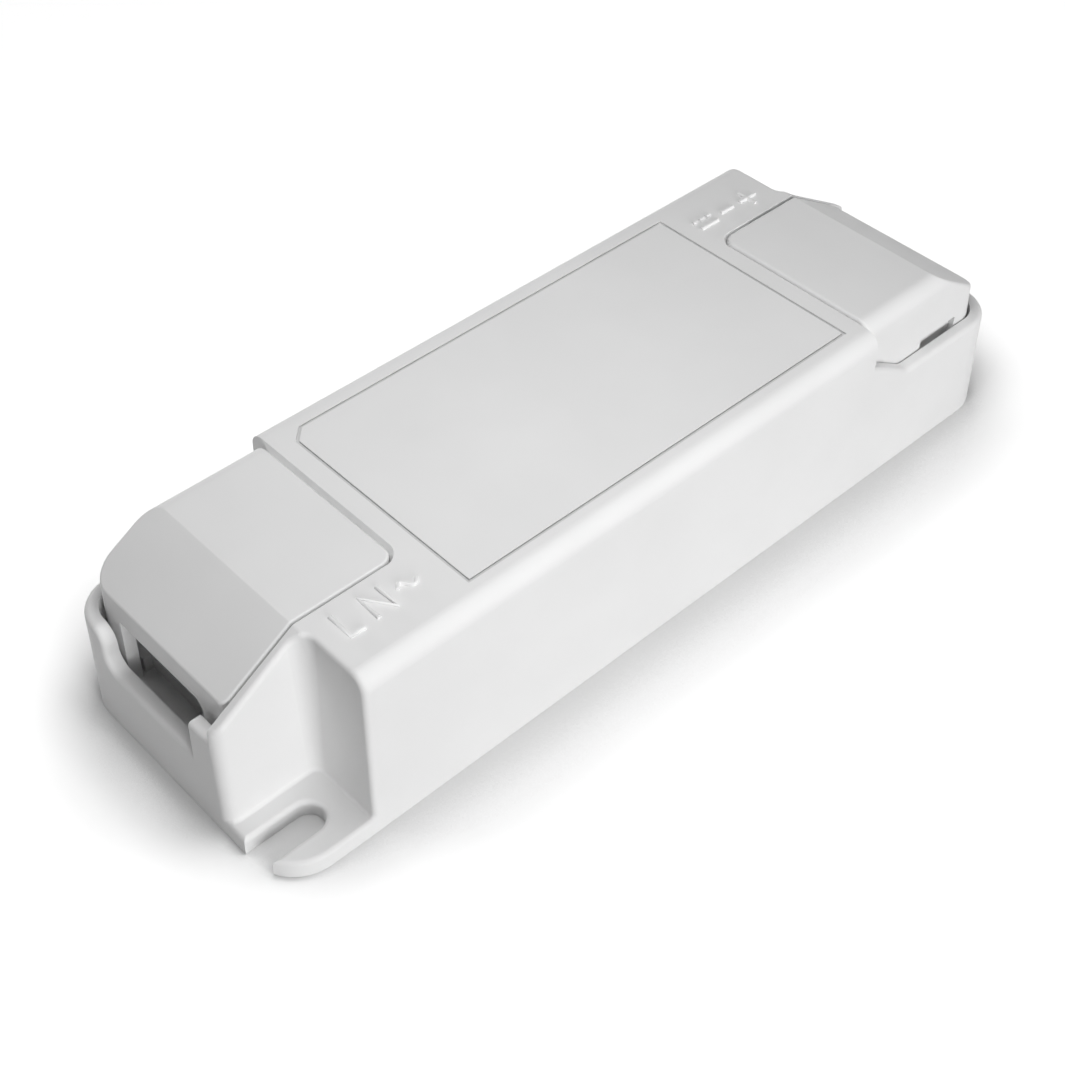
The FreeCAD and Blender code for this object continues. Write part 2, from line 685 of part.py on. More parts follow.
def board_screw_places():
    return [(f"{a}{POST_X}", f"{b}{SCREW_Y}") for a in ("", "-") for b in ("", "-")]


def clamp_screw_places():
    return [f"{BAY_MIDDLE} {sign} {CLAMP_SPACING} / 2" for sign in "+-"]


def shape_housing_fittings(doc, body):
    """Screw posts, clamp posts, cable grip ribs, cover latch and slots for the cover's tongues."""
    screw_hole = "dim.screw_diameter / 2 + dim.screw_gap"
    post = "dim.post_diameter / 2"
    posts = [(f"-{POST_X}", SCREW_Y), (f"-{POST_X}", f"-{SCREW_Y}")]
    add_prism(doc, body, "board_posts", "XY_Plane", f"{BOARD_TOP} + dim.face_gap", f"{CEILING} + dim.overlap",
              circles=[(x, y, post) for x, y in posts])
    add_cut(doc, body, "board_post_bores", "XY_Plane", BOARD_TOP, f"{BOARD_TOP} + dim.screw_length",
            circles=[(x, y, screw_hole) for x, y in posts])
    clamp_posts = [(f"-{CLAMP_X}", y) for y in clamp_screw_places()]
    add_prism(doc, body, "clamp_posts", "XY_Plane", "dim.shelf_height - dim.overlap", CLAMP_UNDER,
              circles=[(x, y, "dim.clamp_post_diameter / 2") for x, y in clamp_posts])
    add_cut(doc, body, "clamp_post_bores", "XY_Plane", "dim.shelf_height - dim.overlap", f"{CLAMP_UNDER} + {PAST}",
            circles=[(x, y, screw_hole) for x, y in clamp_posts])
    ribs = []
    for sign in "+-":
        middle = f"-({CLAMP_X} {sign} dim.grip_rib_spacing / 2)"
        ribs.append(corners(f"{middle} - dim.grip_rib_width / 2", f"{middle} + dim.grip_rib_width / 2",
                            f"{WINDOW_LOW} + dim.grip_rib_width", f"{WINDOW_HIGH} - dim.grip_rib_width"))
    add_prism(doc, body, "grip_ribs", "XY_Plane", "dim.shelf_height - dim.overlap", "dim.shelf_height + dim.grip_rib_height",
              ribs)
    latch_low = "(dim.latch_pocket_foot + dim.latch_gap)"
    latch_top = f"{latch_low} + dim.latch_height + dim.latch_reach"
    rooted = f"{BAY_SIDE} + dim.overlap"
    add_prism(doc, body, "cover_latch", "YZ_Plane", f"-({LATCH_X} + dim.latch_width / 2)",
              f"-({LATCH_X} - dim.latch_width / 2)",
              [[(rooted, latch_low), (rooted, latch_top), (BAY_SIDE, latch_top),
                (f"{BAY_SIDE} - dim.latch_reach", f"{latch_low} + dim.latch_height"),
                (f"{BAY_SIDE} - dim.latch_reach", latch_low)]])
    slots = []
    for sign in "+-":
        middle = f"{BAY_MIDDLE} {sign} dim.tongue_spacing / 2"
        half = "dim.tongue_width / 2 + dim.tongue_gap"
        slots.append(corners(f"{middle} - ({half})", f"{middle} + ({half})", "dim.tongue_height - dim.tongue_gap",
                             "dim.tongue_height + dim.tongue_thickness + dim.tongue_gap"))
    add_cut(doc, body, "tongue_slots", "YZ_Plane", f"-{MIDDLE} - {PAST}", f"-{BULKHEAD_BACK} + {PAST}", slots,
            from_high=True)


def shape_label_outline(doc, body):
    """Shallow groove that frames the label place, with one cut corner."""
    inset_share = 2 - math.sqrt(2)
    half_x = f"({MIDDLE} - dim.label_end_gap)"
    half_y = f"({SIDE} - dim.label_side_gap)"

    def frame(step):
        cut = f"(dim.label_corner - {step} * {inset_share:.4f})"
        x = f"({half_x} - {step})"
        y = f"({half_y} - {step})"
        return [(f"-{x}", f"-{y}"), (x, f"-{y}"), (x, y), (f"-{x} + {cut}", y), (f"-{x}", f"{y} - {cut}")]

    add_cut(doc, body, "label_outline", "XY_Plane", f"{TOP} - dim.label_depth", f"{TOP} + {PAST}",
            [frame("0"), frame("dim.label_line")])


def make_housing(doc):
    body = new_body(doc, "housing")
    shape_housing_block(doc, body)
    shape_housing_notch(doc, body)
    shape_housing_ear(doc, body)
    shape_housing_bay(doc, body)
    shape_housing_underside(doc, body)
    shape_housing_fittings(doc, body)
    both = body.newObject("PartDesign::PolarPattern", "both_ends")
    both.TransformMode = "Whole shape"
    both.Axis = (next(f for f in body.Origin.OriginFeatures if f.Role == "Z_Axis"), [""])
    both.Angle = 360
    both.Occurrences = 2
    finish_feature(doc, body, both)
    shape_label_outline(doc, body)
    return body


def make_cover(doc, name):
    """Terminal cover: thin shell with sloping end, cable window, latch pocket and two rear tongues."""
    body = new_body(doc, name)
    end = f"({BAY_END} - dim.cover_end_gap)"
    rear = f"({MIDDLE} + dim.cover_rear_gap)"
    inner_edge = "(dim.bay_edge - dim.cover_side_gap)"
    outer_edge = f"({BAY_SIDE} - dim.cover_rim_gap)"
    foot = "(dim.groove_floor + dim.cover_foot_gap)"
    far = f"({END} + {BEYOND})"
    above = f"({TOP} + {BEYOND})"
    below = f"({foot} - {PAST})"

    def end_at(height, step="0"):
        return f"-({end} - {step} - {LEAN} * (({height}) - dim.rim_height))"

    def side_at(height, step="0"):
        return f"({outer_edge} - {step} - {LEAN} * (({height}) - dim.rim_height))"

    add_prism(doc, body, "block", "XZ_Plane", f"-{inner_edge}", f"{outer_edge} + {PAST}",
              [[(end_at(foot), foot), (end_at(TOP), TOP), (f"-{rear}", TOP), (f"-{rear}", foot)]])
    add_cut(doc, body, "side_lean", "YZ_Plane", f"-{far}", "0",
            [[(outer_edge, "dim.rim_height"), (side_at(TOP), TOP), (side_at(TOP), above),
              (f"{outer_edge} + {BEYOND}", above), (f"{outer_edge} + {BEYOND}", below), (outer_edge, below)]])
    top = value(doc, TOP)
    rim_z = value(doc, "dim.rim_height")
    end_x = value(doc, end_at(foot))
    rear_x = value(doc, f"-{rear}")
    inner_y = value(doc, f"-{inner_edge}")
    outer_y = value(doc, outer_edge)
    add_fillet(doc, body, "end_corner", "dim.cover_plan_radius",
               lambda edge: upright(edge) and near(box_of(edge)[0][0], end_x) and near(box_of(edge)[1][1], outer_y))
    add_fillet(doc, body, "rear_corner", "dim.cover_rear_radius",
               lambda edge: upright(edge) and near(box_of(edge)[0][0], rear_x) and near(box_of(edge)[1][1], inner_y))
    top_side = value(doc, side_at(TOP))
    add_fillet(doc, body, "long_edge", "dim.top_radius",
               lambda edge: near(box_of(edge)[0][2], top) and near(box_of(edge)[0][1], top_side)
               and near(box_of(edge)[1][1], top_side))
    slope_end = f"{TOP} - ({far} - {SLOPE_START}) * {FALL}"
    add_cut(doc, body, "slope", "XZ_Plane", f"-{far}", far,
            [[(f"-{SLOPE_START}", TOP), (f"-{SLOPE_START}", above), (f"-{far}", above),
              (f"-{far}", slope_end)]])
    near_corner = value(doc, "dim.cover_near_radius") * 2

    def end_near_corner(edge):
        low, high = box_of(edge)
        return upright(edge) and near(low[0], end_x, 0.05) and high[1] < inner_y + near_corner

    add_fillet(doc, body, "near_corner", "dim.cover_near_radius", end_near_corner)
    long_z = value(doc, f"{TOP} - dim.top_radius")
    break_x = value(doc, f"-{SLOPE_START}")
    slope_foot = value(doc, "dim.slope_foot")

    def top_edges(edge):
        low, high = box_of(edge)
        at_break = near(low[0], break_x) and near(high[0], break_x)
        on_long_side = near(low[2], long_z, 0.1) and near(high[2], long_z, 0.1)
        return low[2] > rim_z + slope_foot / 2 and not (at_break or on_long_side or upright(edge))

    add_fillet(doc, body, "top_edges", "dim.cover_edge_radius", top_edges)
    inner_top = f"({TOP} - dim.cover_wall)"
    slope_wall = f"(dim.cover_wall * sqrt(1 + {FALL} ^ 2))"
    inner_break = f"({SLOPE_START} - ({slope_wall} - dim.cover_wall) / {FALL})"
    inner_end_x = end_at("dim.rim_height", "dim.cover_wall")
    fall_to = f"{TOP} - {slope_wall} - (-({inner_end_x}) - {SLOPE_START}) * {FALL}"
    add_cut(doc, body, "inside", "XZ_Plane", f"-{inner_edge} + dim.cover_wall", side_at(TOP, "dim.cover_wall"),
            [[(f"-{rear} - dim.cover_wall", below), (f"-{rear} - dim.cover_wall", inner_top),
              (f"-{inner_break}", inner_top), (inner_end_x, fall_to), (end_at(foot, "dim.cover_wall"), below)]])
    add_cut(doc, body, "foot_step", "XY_Plane", below, SHELF_ROOM,
            [corners(f"-({BAY_END} - dim.groove_width + dim.cover_foot_gap)", "0", f"-{far}", far)])
    add_cut(doc, body, "corner_step", "XY_Plane", below, SHELF_ROOM,
            [corners(f"-{far}", f"-({BAY_END} - dim.groove_width)",
                     f"{BAY_SIDE} - dim.groove_end_gap - dim.cover_foot_gap", far)])
    add_cut(doc, body, "cable_window", "YZ_Plane", f"-{far}", f"{inner_end_x} + {PAST}",
            [[(WINDOW_LOW, below), (WINDOW_HIGH, below), (WINDOW_HIGH, "dim.window_top"),
              (WINDOW_LOW, "dim.window_top", "dim.window_radius")]])
    pocket_floor = f"{outer_edge} - dim.latch_pocket_depth"
    add_cut(doc, body, "latch_pocket", "XZ_Plane", pocket_floor, f"{outer_edge} + {PAST}",
            [corners(f"-{LATCH_X} - dim.latch_pocket_width / 2", f"-{LATCH_X} + dim.latch_pocket_width / 2",
                     "dim.latch_pocket_foot", "dim.latch_pocket_top")])
    tongues = []
    for sign in "+-":
        middle = f"{BAY_MIDDLE} {sign} dim.tongue_spacing / 2"
        tongues.append(corners(f"{middle} - dim.tongue_width / 2", f"{middle} + dim.tongue_width / 2",
                               "dim.tongue_height", "dim.tongue_height + dim.tongue_thickness"))
    add_prism(doc, body, "tongues", "YZ_Plane", f"-{rear} - dim.overlap", f"-{rear} + dim.tongue_reach", tongues)
    return body


def make_bottom_plate(doc):
    """Flush closing plate with posts under the board and countersunk screw holes."""
    body = new_body(doc, "bottom_plate")
    end = f"({END} - dim.plate_lip - dim.plate_gap)"
    side = f"({SIDE} - dim.plate_lip - dim.plate_gap)"
    ear_x = f"({CROSS_WALL} - dim.plate_lip - dim.plate_gap)"
    ear_y = f"({NOTCH_SIDE} - dim.plate_lip - dim.plate_gap)"
    corner = "dim.plan_radius - dim.plate_lip - dim.plate_gap"
    add_prism(doc, body, "plate", "XY_Plane", "0", "dim.plate_thickness - dim.face_gap",
              [[(f"-{end}", side, corner), (f"-{end}", f"-{ear_y}"), (f"-{ear_x}", f"-{ear_y}"),
                (f"-{ear_x}", f"-{side}"), (end, f"-{side}", corner), (end, ear_y), (ear_x, ear_y), (ear_x, side)]])
    places = board_screw_places()
    add_prism(doc, body, "posts", "XY_Plane", "dim.plate_thickness - dim.overlap", "dim.board_underside",
              circles=[(x, y, "dim.post_diameter / 2") for x, y in places])
    hole = "(dim.screw_diameter / 2 + dim.hole_gap)"
    add_cut(doc, body, "screw_holes", "XY_Plane", f"-{PAST}", f"dim.board_underside + {PAST}",
            circles=[(x, y, hole) for x, y in places])
    radius = value(doc, hole)

    def hole_mouth(edge):
        low, high = box_of(edge)
        return near(low[2], 0) and near(high[2], 0) and near(high[0] - low[0], 2 * radius)

    base = body.Tip
    sinks = body.newObject("PartDesign::Chamfer", "countersinks")
    sinks.Base = (base, edges_where(body.Shape, hole_mouth))
    sinks.setExpression("Size", f"dim.screw_head / 2 + dim.head_gap - {hole}")
    finish_feature(doc, body, sinks)
    return body


def bind_place(obj, place):
    for axis, expression in zip("xyz", place):
        obj.setExpression(f"Placement.Base.{axis}", expression)


def add_box(doc, low, high):
    """Block between two corners given as expressions."""
    obj = doc.addObject("Part::Box", "block")
    for side, i in (("Length", 0), ("Width", 1), ("Height", 2)):
        obj.setExpression(side, f"({high[i]}) - ({low[i]})")
    bind_place(obj, low)
    return obj


TURNS = {"X": FreeCAD.Rotation(FreeCAD.Vector(0, 1, 0), 90), "Y": FreeCAD.Rotation(FreeCAD.Vector(1, 0, 0), -90),
         "Z": FreeCAD.Rotation()}


def add_rod(doc, place, radius, length, axis="Z"):
    """Cylinder from a place along an axis."""
    obj = doc.addObject("Part::Cylinder", "rod")
    obj.setExpression("Radius", radius)
    obj.setExpression("Height", length)
    obj.Placement = FreeCAD.Placement(FreeCAD.Vector(), TURNS[axis])
    bind_place(obj, place)
    return obj


def add_cone(doc, place, low_radius, high_radius, height):
    obj = doc.addObject("Part::Cone", "cone")
    obj.setExpression("Radius1", low_radius)
    obj.setExpression("Radius2", high_radius)
    obj.setExpression("Height", height)
    bind_place(obj, place)
    return obj


def join(doc, shapes, name="joined"):
    obj = doc.addObject("Part::MultiFuse", name)
    obj.Shapes = shapes
    obj.Label = name
    return obj


def take(doc, base, tools, name="taken"):
    obj = doc.addObject("Part::Cut", name)
    obj.Base = base
    obj.Tool = tools[0] if len(tools) == 1 else join(doc, tools)
    obj.Label = name
    return obj


def span(middle, size):
    """Low and high ends of a size about its middle."""
    return f"({middle}) - ({size}) / 2", f"({middle}) + ({size}) / 2"


def add_block(doc, middle_x, size_x, middle_y, size_y, low_z, high_z):
    """Block about a middle in plan, between two heights."""
    x0, x1 = span(middle_x, size_x)
    y0, y1 = span(middle_y, size_y)
    return add_box(doc, (x0, y0, low_z), (x1, y1, high_z))


def make_bottom_screws(doc):
    parts = []
    radius = "dim.screw_diameter / 2"
    for x, y in board_screw_places():
        place = (x, y, "dim.face_gap")
        head = add_cone(doc, place, "dim.screw_head / 2", radius, "dim.screw_head / 2 - dim.screw_diameter / 2")
        parts += [head, add_rod(doc, place, radius, "dim.screw_length")]
    return join(doc, parts, "bottom_screws")


def make_sheet_and_board(doc):
    low_x = f"-({TRAY_END} - dim.board_gap)"
    side = f"({BOARD_SIDE} - dim.board_gap)"
    posts = [add_rod(doc, (x, y, "0"), "dim.post_diameter / 2 + dim.board_gap", "5") for x, y in board_screw_places()]
    film = add_box(doc, (f"{low_x} + dim.film_inset", f"-{side} + dim.film_inset", "dim.plate_thickness"),
                   (f"-({low_x}) - dim.film_inset", f"{side} - dim.film_inset",
                    "dim.plate_thickness + dim.film_thickness"))
    film = take(doc, film, posts, "insulating_sheet")
    hole = "dim.screw_diameter / 2 + dim.hole_gap"
    holes = [add_rod(doc, (x, y, "0"), hole, "10") for x, y in board_screw_places()]
    board = add_box(doc, (low_x, f"-{side}", "dim.board_underside"), (f"-({low_x})", side, BOARD_TOP))
    return [film, take(doc, board, holes, "circuit_board")]


def make_cable_clamp(doc, name):
    """Bar across two posts, with two gripping ridges under its middle."""
    x = f"-{CLAMP_X}"
    bar = add_block(doc, x, "dim.clamp_width", BAY_MIDDLE, f"{CLAMP_SPACING} + dim.clamp_post_diameter", CLAMP_UNDER,
                    f"{CLAMP_UNDER} + dim.clamp_thickness")
    ridges = [add_block(doc, f"{x} {sign} dim.grip_rib_spacing / 2", "dim.grip_rib_width", BAY_MIDDLE,
                        f"{CLAMP_SPACING} - dim.clamp_post_diameter - dim.grip_rib_width",
                        f"{CLAMP_UNDER} - dim.grip_rib_height", f"{CLAMP_UNDER} + dim.overlap") for sign in "+-"]
    holes = [add_rod(doc, (x, y, f"{CLAMP_UNDER} - {PAST}"), "dim.screw_diameter / 2 + dim.hole_gap", "10")
             for y in clamp_screw_places()]
    return take(doc, join(doc, [bar] + ridges), holes, name)


def both_ends(doc, parts, name):
    """One node that holds parts drawn for the mains end and the same turned to the output end."""
    first = join(doc, parts)
    second = join(doc, [doc.copyObject(part, True) for part in parts])
    turn_round(second)
    return join(doc, [first, second], name)


def make_clamp_screws(doc):
    parts = []
    top = f"{CLAMP_UNDER} + dim.clamp_thickness"
    for y in clamp_screw_places():
        parts.append(add_rod(doc, (f"-{CLAMP_X}", y, f"{top} - dim.clamp_screw_length"), "dim.screw_diameter / 2",
                             "dim.clamp_screw_length + dim.overlap"))
        parts.append(add_rod(doc, (f"-{CLAMP_X}", y, top), "dim.clamp_screw_head / 2", "dim.clamp_head_height"))
    return both_ends(doc, parts, "clamp_screws")


def pole_places():
    return [f"({BAY_MIDDLE} {sign} dim.terminal_pitch / 2)" for sign in "+-"]


def make_terminal_block(doc, name):
    """Two-pole block with wire entries towards the end and screw wells from above."""
    half = "(dim.terminal_pitch + dim.terminal_side_wall)"
    body = add_box(doc, (f"-{TERMINAL_FRONT}", f"{BAY_MIDDLE} - {half}", BOARD_TOP),
                   (f"-{TERMINAL_BACK}", f"{BAY_MIDDLE} + {half}", f"{BOARD_TOP} + dim.terminal_height"))
    tools = []
    for y in pole_places():
        tools.append(add_box(doc, (f"-{TERMINAL_FRONT} - {PAST}", f"{y} - dim.cage_width / 2 - dim.cage_gap",
                                   f"{CAGE_LOW} - dim.cage_gap"),
                             (f"-({CAGE_X} - {CAGE_DEPTH} / 2 - dim.cage_setback)",
                              f"{y} + dim.cage_width / 2 + dim.cage_gap", f"{CAGE_TOP} + dim.cage_gap")))
        tools.append(add_rod(doc, (f"-{CAGE_X}", y, CAGE_TOP), "dim.terminal_screw_head / 2 + dim.well_gap", "10"))
        tools.append(add_block(doc, f"-{CAGE_X}", "dim.cage_tail_width + 4 * dim.cage_gap", y,
                               "dim.cage_tail_thickness + 4 * dim.cage_gap", f"{BOARD_TOP} - {PAST}", CAGE_LOW))
    return take(doc, body, tools, name)


def make_terminal_cages(doc, name):
    """Sheet boxes round the wires, each with a tail down to the board."""
    shells = []
    hollows = []
    x = f"-{CAGE_X}"
    for y in pole_places():
        shells.append(add_block(doc, x, CAGE_DEPTH, y, "dim.cage_width", CAGE_LOW, CAGE_TOP))
        shells.append(add_block(doc, x, "dim.cage_tail_width", y, "dim.cage_tail_thickness", BOARD_TOP,
                                f"{CAGE_LOW} + dim.cage_sheet / 2"))
        hollows.append(add_block(doc, x, f"{CAGE_DEPTH} + 2 * {PAST}", y, "dim.cage_width - 2 * dim.cage_sheet",
                                 f"{CAGE_LOW} + dim.cage_sheet", f"{CAGE_TOP} - dim.cage_sheet"))
        hollows.append(add_rod(doc, (x, y, f"{CAGE_TOP} - 3 * dim.cage_sheet"),
                               "dim.terminal_screw / 2 + dim.cage_gap", "4"))
    return take(doc, join(doc, shells), hollows, name)


def make_terminal_screws(doc):
    parts = []
    x = f"-{CAGE_X}"
    shank_low = f"({CAGE_TOP} - dim.terminal_screw)"
    head_low = f"({CAGE_TOP} + dim.terminal_head_lift)"
    for y in pole_places():
        parts.append(add_rod(doc, (x, y, shank_low), "dim.terminal_screw / 2", f"{head_low} - {shank_low} + dim.overlap"))
        parts.append(add_rod(doc, (x, y, head_low), "dim.terminal_screw_head / 2", "dim.terminal_head_height"))
    return both_ends(doc, parts, "terminal_screws")


def fitted(name):
    """Size of a circuit part, smaller where the housing has less room than the layout was made for."""
    return f"(dim.{name} * {FIT})"


def circuit_place(name):
    """Place of a circuit part in plan, which keeps its share of the room."""
    return f"(dim.{name}_x * {LENGTH_ROOM})", f"(dim.{name}_y * {WIDTH_ROOM})"


def either_side(middle, pitch):
    return [f"({middle} {sign} {pitch} / 2)" for sign in "+-"]


def add_legs(doc, xs, ys, top, width="lead_width"):
    """Square leads from the board up to a height, at each x and y."""
    wide = fitted(width)
    return [add_block(doc, x, wide, y, wide, BOARD_TOP, top) for x in xs for y in ys]


def add_wire(doc, x, length, y, z, width="lead_width"):
    """Square wire along X through the middle of a part."""
    half = f"{fitted(width)} / 2"
    return add_block(doc, x, length, y, fitted(width), f"{z} - {half}", f"{z} + {half}")


def make_axial(doc, x, y, diameter, length, width):
    """Round part lying along X, with a lead turned down to the board at each end."""
    z = f"({BOARD_TOP} + {diameter} / 2 + {fitted('body_lift')})"
    x0, _ = span(x, length)
    reach = f"({length} + 2 * {fitted('lead_reach')})"
    legs = add_legs(doc, either_side(x, f"({reach} - {fitted(width)})"), [y], f"{z} + {fitted(width)} / 2", width)
    return [add_rod(doc, (x0, y, z), f"{diameter} / 2", length, "X"), add_wire(doc, x, reach, y, z, width)] + legs


def make_fuse(doc):
    x, y = circuit_place("fuse")
    return join(doc, make_axial(doc, x, y, fitted("fuse_diameter"), fitted("fuse_length"), "lead_width"), "fuse")


def make_disc(doc, name, place, axis):
    """Coated disc standing on two leads; its axis lies along X or Y."""
    x, y = circuit_place(place)
    diameter = fitted(f"{place}_diameter")
    thickness = fitted(f"{place}_thickness")
    z = f"({BOARD_TOP} + {fitted('disc_lift')} + {diameter} / 2)"
    pitch = fitted("disc_pitch")
    if axis == "X":
        disc = add_rod(doc, (f"{x} - {thickness} / 2", y, z), f"{diameter} / 2", thickness, axis)
        legs = add_legs(doc, [x], either_side(y, pitch), f"{z} - {diameter} / 4")
    else:
        disc = add_rod(doc, (x, f"{y} - {thickness} / 2", z), f"{diameter} / 2", thickness, axis)
        legs = add_legs(doc, either_side(x, pitch), [y], f"{z} - {diameter} / 4")
    return join(doc, [disc] + legs, name)


def make_filter_capacitor(doc):
    x, y = circuit_place("filter_capacitor")
    low = f"({BOARD_TOP} + {fitted('body_lift')})"
    box = add_block(doc, x, fitted("filter_capacitor_length"), y, fitted("filter_capacitor_width"), low,
                    f"{BOARD_TOP} + {fitted('filter_capacitor_height')}")
    legs = add_legs(doc, either_side(x, fitted("filter_capacitor_pitch")), [y], f"{low} + {fitted('lead_width')} / 2")
    return join(doc, [box] + legs, "mains_filter_capacitor")


def make_choke(doc):
    """Ring core lying flat, with two windings on opposite sides that stand on the board."""
    x, y = circuit_place("choke")
    outer = f"({fitted('choke_outer')} / 2)"
    inner = f"({fitted('choke_inner')} / 2)"
    height = fitted("choke_core_height")
    wire = fitted("choke_wire")
    gap = fitted("choke_gap")
    low = f"({BOARD_TOP} + {wire} + {gap})"
    core = take(doc, add_rod(doc, (x, y, low), outer, height),
                [add_rod(doc, (x, y, f"{low} - 1"), inner, f"{height} + 2")], "filter_choke_core")
    halves = []
    for turn in (35, 215):
        coil = add_rod(doc, (x, y, f"{low} - {wire} - {gap}"), f"{outer} + {wire}", f"{height} + 2 * {wire}")
        coil.Angle = 110
        coil.Placement.Rotation = FreeCAD.Rotation(FreeCAD.Vector(0, 0, 1), turn)
        bore = add_rod(doc, (x, y, BOARD_TOP), f"{inner} - {wire}", f"3 * {height}")
        room = take(doc, add_rod(doc, (x, y, f"{low} - {gap}"), f"{outer} + {gap}", f"{height} + 2 * {gap}"),
                    [add_rod(doc, (x, y, BOARD_TOP), f"{inner} - {gap}", f"3 * {height}")])
        halves.append(take(doc, coil, [bore, room]))
    return [core, join(doc, halves, "filter_choke_windings")]


def make_chip(doc, name, place, pins):
    """Moulded chip with a row of legs along both sides."""
    x, y = circuit_place(place)
    width = fitted(f"{place}_width")
    leg = fitted("thin_lead_width")
    parts = [add_block(doc, x, fitted(f"{place}_length"), y, width, f"{BOARD_TOP} + {fitted('body_lift')} / 2",
                       f"{BOARD_TOP} + {fitted(f'{place}_height')}")]
    for i in range(pins):
        at = f"{x} + {i - (pins - 1) / 2} * {fitted(f'{place}_pitch')}"
        parts.append(add_block(doc, at, leg, y, f"{width} + 3 * {leg}", BOARD_TOP, f"{BOARD_TOP} + {leg}"))
    return join(doc, parts, name)


def make_resistors(doc):
    x, y = circuit_place("resistor")
    parts = []
    for row in either_side(y, fitted("resistor_spacing")):
        parts += make_axial(doc, x, row, fitted("resistor_diameter"), fitted("resistor_length"), "thin_lead_width")
    return join(doc, parts, "snubber_resistors")


def make_transformer(doc):
    """Upright coil former with its winding on the middle leg of a framed core."""
    x, y = circuit_place("transformer")
    width = fitted("transformer_width")
    depth = fitted("transformer_depth")
    core_depth = fitted("transformer_core_depth")
    leg = fitted("transformer_leg")
    wall = fitted("bobbin_wall")
    gap = fitted("bobbin_gap")
    bar = f"({leg} / 2)"
    core_low = f"({BOARD_TOP} + {fitted('bobbin_base')})"
    core_high = f"({BOARD_TOP} + {fitted('transformer_height')})"
    frame = add_block(doc, x, width, y, core_depth, core_low, core_high)
    room_width = f"(({width} - {leg}) / 2 - {bar})"
    windows = [add_block(doc, middle, room_width, y, f"{core_depth} + 2", f"{core_low} + {bar}", f"{core_high} - {bar}")
               for middle in either_side(x, f"({leg} + {room_width})")]
    core = take(doc, frame, windows, "transformer_core")
    low = f"({core_low} + {bar} + {gap})"
    high = f"({core_high} - {bar} - {gap})"
    reach = f"({leg} + 2 * {room_width} - 2 * {fitted('coil_inset')})"
    tube_x = f"({leg} + 2 * {gap} + 2 * {wall})"
    tube_y = f"({core_depth} + 2 * {gap} + 2 * {wall})"
    former = [add_block(doc, x, reach, y, depth, low, f"{low} + {wall}"),
              add_block(doc, x, reach, y, f"{depth} - {fitted('bobbin_top_inset')}", f"{high} - {wall}", high),
              add_block(doc, x, tube_x, y, tube_y, low, high)]
    foot_depth = f"(({depth} - {core_depth}) / 2 - 2 * {gap})"
    for foot_y in either_side(y, f"({depth} - {foot_depth})"):
        former.append(add_block(doc, x, f"{width} - {fitted('bobbin_foot_inset')}", foot_y, foot_depth, BOARD_TOP,
                                f"{low} + {wall}"))
    leg_room = add_block(doc, x, f"{leg} + 2 * {gap}", y, f"{core_depth} + 2 * {gap}", BOARD_TOP, f"{high} + 1")
    bobbin = take(doc, join(doc, former), [leg_room], "transformer_bobbin")
    coil = add_rod(doc, (x, y, f"{low} + {wall} + {gap} / 2"), f"{reach} / 2 - {fitted('coil_inset')}",
                   f"{high} - {low} - 2 * {wall} - {gap}")
    room = add_block(doc, x, f"{tube_x} + {gap}", y, f"{tube_y} + {gap}", BOARD_TOP, CEILING)
    return [core, bobbin, take(doc, coil, [room], "transformer_windings")]


def cut_can_groove(doc, can, place, radius, axis):
    """Crimped groove round a can; place is where the groove starts."""
    width = fitted("can_groove_width")
    ring = take(doc, add_rod(doc, place, f"{radius} + 1", width, axis),
                [add_rod(doc, place, f"{radius} - {fitted('can_groove_depth')}", width, axis)])
    return take(doc, can, [ring])


def make_bulk_capacitor(doc):
    """Can lying along the board with a crimped groove and leads turned down at one end."""
    x, y = circuit_place("bulk")
    radius = f"({fitted('bulk_diameter')} / 2)"
    length = fitted("bulk_length")
    lead = fitted("lead_width")
    reach = fitted("lead_reach")
    x0, x1 = span(x, length)
    z = f"({BOARD_TOP} + {radius} + {fitted('body_lift')} / 2)"
    body = cut_can_groove(doc, add_rod(doc, (x0, y, z), radius, length, "X"),
                          (f"{x1} - {fitted('bulk_groove_place')}", y, z), radius, "X")
    leads = []
    for lead_y in either_side(y, fitted("bulk_pitch")):
        leads.append(add_box(doc, (f"{x1} - {lead} / 2", f"{lead_y} - {lead} / 2", f"{z} - {lead} / 2"),
                             (f"{x1} + {reach}", f"{lead_y} + {lead} / 2", f"{z} + {lead} / 2")))
        leads.append(add_box(doc, (f"{x1} + {reach} - {lead}", f"{lead_y} - {lead} / 2", BOARD_TOP),
                             (f"{x1} + {reach}", f"{lead_y} + {lead} / 2", f"{z} + {lead} / 2")))
    return join(doc, [body] + leads, "bulk_capacitor")


def make_output_capacitors(doc):
    """Two cans standing on the board, each with a crimped groove near its foot."""
    x, y = circuit_place("output_capacitor")
    radius = f"({fitted('output_capacitor_diameter')} / 2)"
    cans = []
    for row in either_side(y, f"(2 * {radius} + {fitted('output_capacitor_gap')})"):
        can = add_rod(doc, (x, row, BOARD_TOP), radius, fitted("output_capacitor_length"))
        cans.append(cut_can_groove(doc, can, (x, row, f"{BOARD_TOP} + {fitted('output_groove_place')}"), radius, "Z"))
    return join(doc, cans, "output_capacitors")


